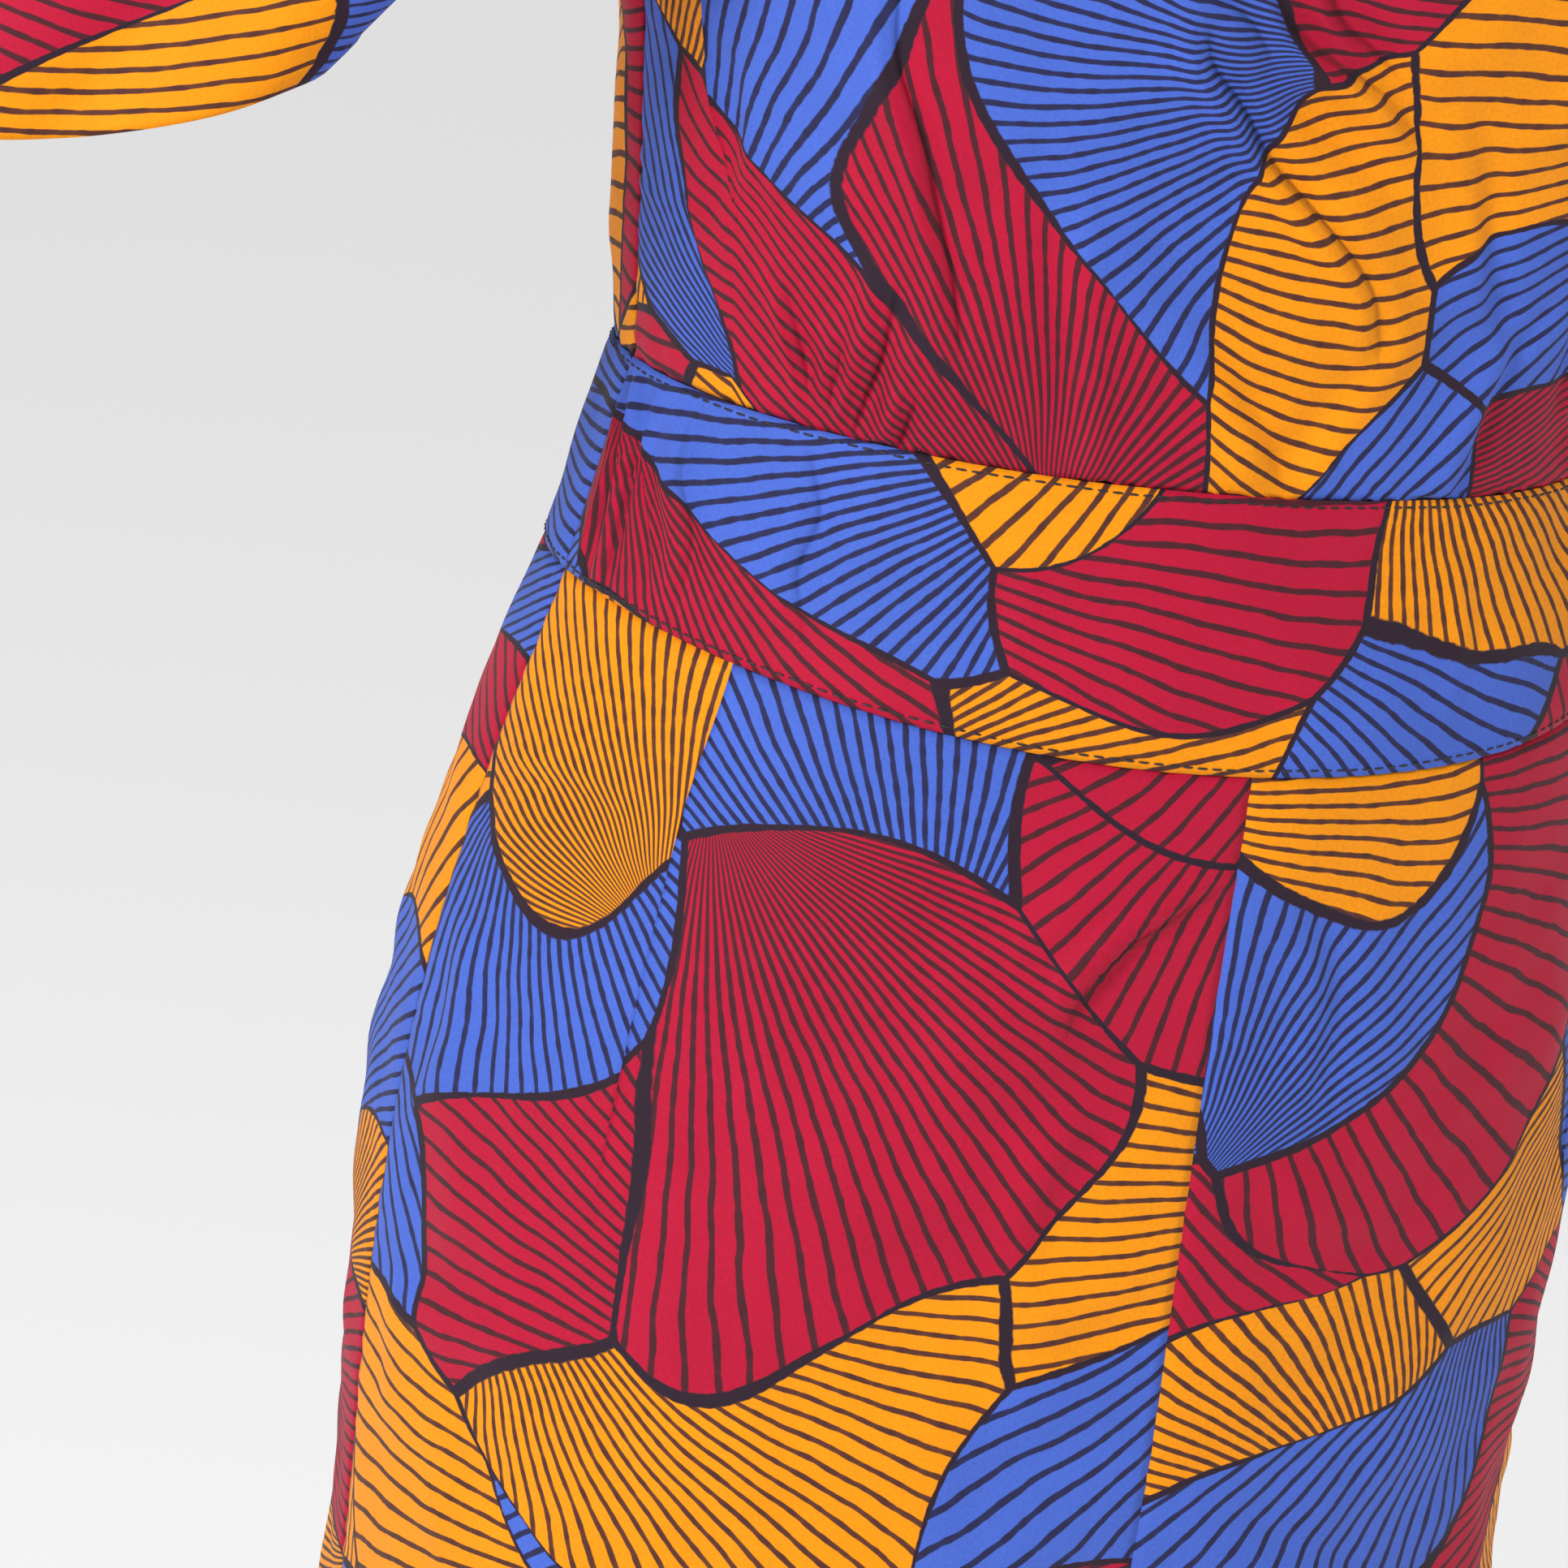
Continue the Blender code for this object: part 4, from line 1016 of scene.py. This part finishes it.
LEG_DART_FADE, LEG_DART_EDGE = ((0.0, 0.16, 0.20), (1, 0.8, 0)), 0.0055
LEG_HEM = (22 * MM, 0.25, 0.25, 1.5 * MM, 0.35, 1.2 * MM)
EVEN_REACH, EVEN_END, EVEN_SHARE = 45 * MM, 60 * MM, 0.35
CROTCH_ROW = 70
LEG_SEAMS = ("top", "first", "last")


def ease(t):
    """From 0 to 1 with a soft start and a soft end."""
    t = np.clip(t, 0, 1)
    return t * t * (3 - 2 * t)


def evened(grid, u):
    """A leg panel whose columns are evened out downwards, so that the thigh runs on from the
    hips with no ledge. Its centre line and its ends stay."""
    down = arcs(grid, 0)
    weight = np.exp(-((down[:, None] - down[None]) / EVEN_REACH) ** 2)
    weight *= np.gradient(down, axis=0)
    mean = (weight[..., None] * grid).sum(axis=1) / weight.sum(axis=1)[..., None]
    share = ease(down / EVEN_END) * ease((down[-1] - down) / EVEN_END)
    share = share * ease((1 - u) / EVEN_SHARE)
    return grid + (mean - grid) * share[..., None]


def leg_grid(hips, facing, u_of):
    """One leg panel from the band down, with the band's top row to shape its upper edge."""
    table, count = named(ROW_COLUMNS, hips), hips[0][-1]
    rows = int(table["steps"][:-1].sum()) + 1
    u = np.broadcast_to(u_of, (rows, u_of.shape[-1]))
    return evened(even_rows(table, facing, u)[count:], u[count:])


def hem_height(up, depth, step, lift, soft, groove, groove_width):
    """Height in mm at a distance up from the hem: a soft step down where the turned-up cloth
    ends inside, with a groove along its stitches."""
    return (step * np.tanh((depth - up) / soft) + lift
            - groove * np.exp(-((up - depth) / groove_width) ** 2))


leg_rows = 1 + sum(row[-1] for row in FRONT_HIPS[1:-1])
dart_u, leg_dart, leg_dart_width = dart_columns(LEG_STEPS, TROUSER_DART, leg_rows, LEG_DART_EDGE)
full_u = np.concatenate([np.repeat(dart_u[:1], FRONT_BAND[0][-1], axis=0), dart_u])
front_leg = leg_grid(FRONT_HIPS, -1, full_u)
back_leg = leg_grid(BACK_HIPS, 1, np.linspace(0, 1, LEG_STEPS + 1)[None, :])
leg_dart_fade = np.interp(np.linspace(0, 1, leg_rows), *LEG_DART_FADE)
front_leg = darted(front_leg, 1, leg_dart, leg_dart_fade)
leg_dart_width = np.append(leg_dart_width[:1], leg_dart_width)
front_dart = ((leg_dart + 1, -1, leg_dart_width),)
mirrored_dart = ((LEG_STEPS - leg_dart + 1, 1, leg_dart_width),)
for name, grid, sign, folds, creases, centre, shift, darts, area in (
        ("front_right", front_leg, 1, FRONT_LEG_FOLDS, FRONT_LEG_CREASES, LEG_STEPS,
         (0.44, 3.20), front_dart, 0.27),
        ("front_left", mirrored(front_leg), 1, FRONT_LEG_FOLDS, FRONT_LEG_CREASES, 0,
         (1.13, 2.71), mirrored_dart, 0.27),
        ("back_right", back_leg, -1, BACK_LEG_FOLDS, BACK_LEG_CREASES, LEG_STEPS,
         (2.05, 3.44), (), 0.24),
        ("back_left", mirrored(back_leg), -1, BACK_LEG_FOLDS, BACK_LEG_CREASES, 0,
         (2.62, 2.95), (), 0.24)):
    grid, leg_map = bent(grid, grid, sign, centre, shift, folds, creases, (1.2, shift[0] * 5),
                         CROTCH_ROW)
    grid = puckered(grid, sign, LEG_SEAMS, 11 * MM, 0.26 * MM)
    ridge = MM * hem_height(from_edges(grid)["bottom"][0], *LEG_HEM)
    grid = rolled(raised(grid, sign, ridge), sign, LEG_SEAMS)
    grid, leg_map = turned_in(grid, leg_map, sign, LEG_SEAMS)
    piece = cloth_piece(f"trouser_{name}_cloth", grid, leg_map, sign,
                        darts=darts)
    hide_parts(f"trouser_{name}")

# Sleeves. Each is one shaped piece, seamed under the arm, set in the armhole and drawn up by
# the neck elastic over the arm. It flares to a curved hem at the elbow.
HEM_CENTRE = np.array((-278, 4, 101)) * MM
HEM_HALF_WIDTH, HEM_HALF_DEPTH = 82 * MM, 82 * MM
HEM_TILT_IN, HEM_TILT_BACK = 21 * MM, 42 * MM
HEM_WAVES, HEM_WAVE_DEPTH, HEM_WAVE_TURN = 6, 4 * MM, 1.0
SLEEVE_ROWS, SLEEVE_ARMHOLE_STEPS = 84, 24
SLEEVE_HEM, MAP_ROW = (9 * MM, 0.3, 0, 1.2 * MM, 0.3, 1.0 * MM), 40
SLEEVE_FOLD_COLUMNS = ("turn_top", "turn_hem", "from", "to", "width", "depth")
SLEEVE_FOLDS = (
    (-70, -58, 0.30, 1.0, 10, 2.2),
    (-38, -40, 0.45, 1.0, 9, -1.8),
    (-8, -14, 0.15, 0.9, 9, 1.6),
    (28, 20, 0.25, 1.0, 10, -1.8),
    (62, 60, 0.20, 1.0, 10, 2.0),
    (112, 104, 0.30, 1.0, 10, -1.6),
    (150, 150, 0.35, 1.0, 10, 1.8),
    (-110, -100, 0.40, 1.0, 9, -1.6),
    (-146, -140, 0.30, 1.0, 9, 1.6),
)


def sleeve_hem(top):
    """The hem's ring, a point below each point of the upper edge: an oval round the arm,
    higher on the side of the body, with soft waves of flare."""
    x, y, _ = (top - top.mean(axis=0)).T
    turn = np.arctan2(y, x)
    even = np.linspace(0, 2 * np.pi, len(top), endpoint=False)
    turn = 0.5 * np.unwrap(turn) + 0.5 * (turn[0] - even)
    wave = HEM_WAVE_DEPTH * np.cos(HEM_WAVES * turn + HEM_WAVE_TURN)
    return HEM_CENTRE + np.stack([(HEM_HALF_WIDTH + wave) * np.cos(turn),
                                  (HEM_HALF_DEPTH + wave) * np.sin(turn),
                                  HEM_TILT_IN * np.cos(turn) + HEM_TILT_BACK * np.sin(turn)],
                                 axis=1)


def armhole(half):
    """The side seam's line above the underarm, brought to the sleeve's even steps."""
    line = half[:ARMHOLE_STEPS + 1, 0]
    length = arcs(line, 0)
    return along_line(line, length, np.linspace(0, length[-1], SLEEVE_ARMHOLE_STEPS + 1))


def sleeve_folded(grid, sign):
    """Folds that run down the sleeve, each at its own turn round the arm."""
    c = dict(zip(SLEEVE_FOLD_COLUMNS, np.array(SLEEVE_FOLDS, float).T))
    out = grid - grid.mean(axis=1, keepdims=True)
    turn = np.arctan2(out[..., 1], out[..., 0])[..., None]
    radius = np.linalg.norm(out[..., :2], axis=-1)[..., None]
    v = np.linspace(0, 1, len(grid))[:, None, None]
    line = np.radians(c["turn_top"] + (c["turn_hem"] - c["turn_top"]) * v)
    away = np.abs((turn - line + np.pi) % (2 * np.pi) - np.pi) * radius
    fade = np.clip((v - c["from"]) / 0.25, 0, 1) * np.clip((c["to"] - v) / 0.2 + 1, 0, 1)
    height = (c["depth"] * np.exp(-(away / (c["width"] * MM)) ** 2) * fade).sum(-1) * MM
    return raised(grid, sign, height, True)


def sleeve_top(front_armhole, over_arm, back_armhole):
    """The sleeve's upper edge: up the front armhole, over the arm and down the back one."""
    return np.concatenate([front_armhole[::-1], over_arm[1:-1], back_armhole[:-1]])


arm_columns = slice(FRONT_STEPS, FRONT_STEPS + SLEEVE_TOP_STEPS + 1)
arm_gathered = gathered(arm_line, neck_along[arm_columns], 0.0, level_away(arm_line, ARM_X))
top = sleeve_top(armhole(front_half), arm_line, armhole(back_half))
top_gathered = sleeve_top(armhole(front_gathered), arm_gathered, armhole(back_gathered))
hem = sleeve_hem(top)
t = np.linspace(0, 1, SLEEVE_ROWS + 1)[:, None, None]
inwards = np.concatenate([t * (0.7 + 0.3 * t)] * 2 + [t], axis=-1)
smooth_sleeve = top + (hem - top) * inwards
below = np.linalg.norm(smooth_sleeve - top, axis=-1, keepdims=True)
sleeve = smooth_sleeve + (top_gathered - top) * np.exp(-below / GATHER_FADE)
from_arm = sleeve - sleeve.mean(axis=1, keepdims=True)
sleeve_sign = np.sign((outward(sleeve, 1, True) * from_arm).sum())
sleeve = sleeve_folded(sleeve, sleeve_sign)
normal = seam_ways(sleeve, outward(sleeve, sleeve_sign, True))
down = arcs(sleeve, 0)
sleeve = sleeve - normal * sunk(down)[..., None]
sleeve = sleeve + normal * (MM * hem_height(down[-1:] - down, *SLEEVE_HEM))[..., None]
sleeve = np.concatenate([sleeve[:1] - normal[:1] * TURNED_IN, sleeve])
sleeve_down = np.concatenate([0 * down[:1] - TURNED_IN, arcs(smooth_sleeve, 0)])
for name, grid, sign, shift in (("right", sleeve, sleeve_sign, (0.07, 2.10)),
                                ("left", sleeve * MIRROR, -sleeve_sign, (1.02, 0.66))):
    across = np.broadcast_to(arcs(grid[MAP_ROW:MAP_ROW + 1], 1), grid.shape[:2])
    sleeve_map = np.stack([across + shift[0], shift[1] - sleeve_down], axis=-1)
    piece = cloth_piece(f"sleeve_{name}_cloth", grid, sleeve_map, sign,
                        closed=True)
    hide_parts(f"sleeve_{name}")

# Neck casing. A narrow tube of the same cotton over elastic, which draws the whole neckline
# up in small gathers and holds it round the upper arms.
CASING_LINE = np.array(((0.7, -0.25), (1.5, 2.2), (1.9, 5), (1.9, 9), (1.6, 12.6), (0.8, 14.8),
                        (-0.3, 15.3), (-1.4, 14.8), (-2.2, 12.6), (-2.5, 9), (-2.5, 5),
                        (-2.3, 2.2), (-2.0, 0.15))) * MM
CASING_RINGS, CASING_GATHER, CASING_SLACK = 1200, 7.3 * MM, 1.2
CASING_HEIGHT, INNER_FACE, CASING_SHIFT = 15.3 * MM, -0.4 * MM, (0.35, 2.35)


def casing_piece():
    """The strip folded over the elastic, along the gathered neckline from the centre back,
    with its own small gathers: uneven waves along it, deepest half way up each face."""
    half_neck = np.concatenate([front_gathered[0, ::-1], arm_gathered[1:-1], back_gathered[0]])
    ring = np.concatenate([half_neck, (half_neck * MIRROR)[-2::-1]])
    length = arcs(ring, 0)
    at = np.linspace(0, length[-1], CASING_RINGS + 1)[:-1]
    ring = np.roll(along_line(ring, length, at), CASING_RINGS // 2, axis=0)
    along = np.roll(ring, -2, axis=0) - np.roll(ring, 2, axis=0)
    level = unit(along * (1, 1, 0))
    away = np.stack([level[:, 1], -level[:, 0], 0 * level[:, 0]], axis=1)
    away *= np.sign((away * ring).sum())

    run = np.gradient(CASING_LINE, axis=0)
    side = unit(np.stack([-run[:, 1], run[:, 0]], axis=1))
    profile = np.concatenate([CASING_LINE, (CASING_LINE + CLOTH * side)[::-1]])
    phase = 2 * np.pi * at / CASING_GATHER
    ruche = 0.55 * np.sin(phase + 1.4 * np.sin(0.23 * phase)) + 0.25 * np.sin(0.41 * phase)
    face = np.where(np.append(CASING_LINE[:, 0], CASING_LINE[::-1, 0]) > INNER_FACE, 1, -1)
    swell = face * np.sin(np.pi * np.clip(profile[:, 1] / CASING_HEIGHT, 0, 1))
    out = profile[:, 0] + MM * ruche[:, None] * swell
    points = ring[:, None] + away[:, None] * out[..., None]
    points[..., 2] += profile[:, 1]

    rows, columns = points.shape[:2]
    faces = quads(rows + 1, columns, True)
    row, column = np.divmod(faces, columns)
    last = (column == 0) & (column.max(axis=1) == columns - 1)[:, None]
    column = np.where(last, columns, column)
    girth = arcs(np.concatenate([profile, profile[:1]]), 0)
    place = np.stack([CASING_SLACK * row * length[-1] / rows, girth[column]], -1) + CASING_SHIFT
    faces, points = faces % (rows * columns), points.reshape(-1, 3)
    corner = points[faces]
    if (corner[:, 0] * np.cross(corner[:, 1], corner[:, 2])).sum() < 0:
        faces, place = faces[:, ::-1], place[:, ::-1]
    piece = worn(sewn_mesh("neck_casing_cloth", points, faces, place, RIGHT_SIDE))
    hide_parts("neck_casing")
    return piece


casing_piece()

# Studio. A plain pale floor under the hems, soft light from above and in front, and the
# camera at the photograph's place.
FLOOR_Z, FLOOR_HALF, WORLD_LIGHT = -1.06, 20, 0.50
AREA_LIGHTS = (
    ("key", (-1.9, -1.2, 1.2), 0.6, 46),
    ("fill", (1.9, -1.7, 0.6), 1.8, 8),
    ("top", (0.2, 0.5, 2.6), 1.4, 10),
)
LIT_POINT = np.array((0, 0, -0.1))


def studio_paper(tree):
    """Matt white paper with a barely uneven tone."""
    return {"Base Color": uneven(tree, 0.6, (0.86, 0.86, 0.86), (0.90, 0.90, 0.90)),
            "Roughness": 0.9, "Emission Color": (1, 1, 1, 1), "Emission Strength": 0.28}


corners = [(x * FLOOR_HALF, y * FLOOR_HALF, FLOOR_Z) for x, y in ((-1, -1), (1, -1), (1, 1), (-1, 1))]
floor_mesh = bpy.data.meshes.new("floor")
floor_mesh.from_pydata(corners, [], [(0, 1, 2, 3)])
floor_mesh.materials.append(material_of("studio_paper", studio_paper))
linked("floor", floor_mesh)

world = bpy.data.worlds.new("studio")
bpy.context.scene.world = world
bpy.context.scene.view_settings.view_transform = "Standard"
world.use_nodes = True
plug(world.node_tree.nodes["Background"].inputs,
     {"Color": (1, 1, 1, 1), "Strength": WORLD_LIGHT})


def facing(location, target):
    """Columns of a light's frame that looks from location to target."""
    back = unit(location - target)
    right = unit(np.cross((0, 0, 1.0), back))
    return np.stack([right, np.cross(back, right), back], axis=1)


def placed(name, data, axes, location):
    """A light or the camera, its frame's axes as columns."""
    matrix = np.eye(4)
    matrix[:3, :3], matrix[:3, 3] = axes, location
    thing = linked(name, data)
    thing.matrix_world = matrix.T
    return thing


for name, location, size, watts in AREA_LIGHTS:
    light = bpy.data.lights.new(name, "AREA")
    light.size, light.energy = size, watts
    placed(name, light, facing(np.array(location), LIT_POINT), location)

AZIMUTH, ELEVATION, TILT = np.radians((-23.84, 16.36, 8.7))
DISTANCE, SENSOR_WIDTH, FRAME_PIXELS, FOCAL_PIXELS = 1.300, 36, 1932, 6440.95
ORIGIN_PIXEL = np.array((1365.83, 474.81))
back = np.array((np.sin(AZIMUTH) * np.cos(ELEVATION), -np.cos(AZIMUTH) * np.cos(ELEVATION),
                 np.sin(ELEVATION)))
level_right = np.array((np.cos(AZIMUTH), np.sin(AZIMUTH), 0))
level_up = np.cross(back, level_right)
right = np.cos(TILT) * level_right + np.sin(TILT) * level_up
up = -np.sin(TILT) * level_right + np.cos(TILT) * level_up
across, down = (ORIGIN_PIXEL - FRAME_PIXELS / 2) / FOCAL_PIXELS * DISTANCE
optics = bpy.data.cameras.new("camera")
optics.sensor_width = SENSOR_WIDTH
optics.lens = FOCAL_PIXELS / FRAME_PIXELS * SENSOR_WIDTH
bpy.context.scene.camera = placed("camera", optics, np.stack([right, up, back], axis=1),
                                  back * DISTANCE - right * across + up * down)
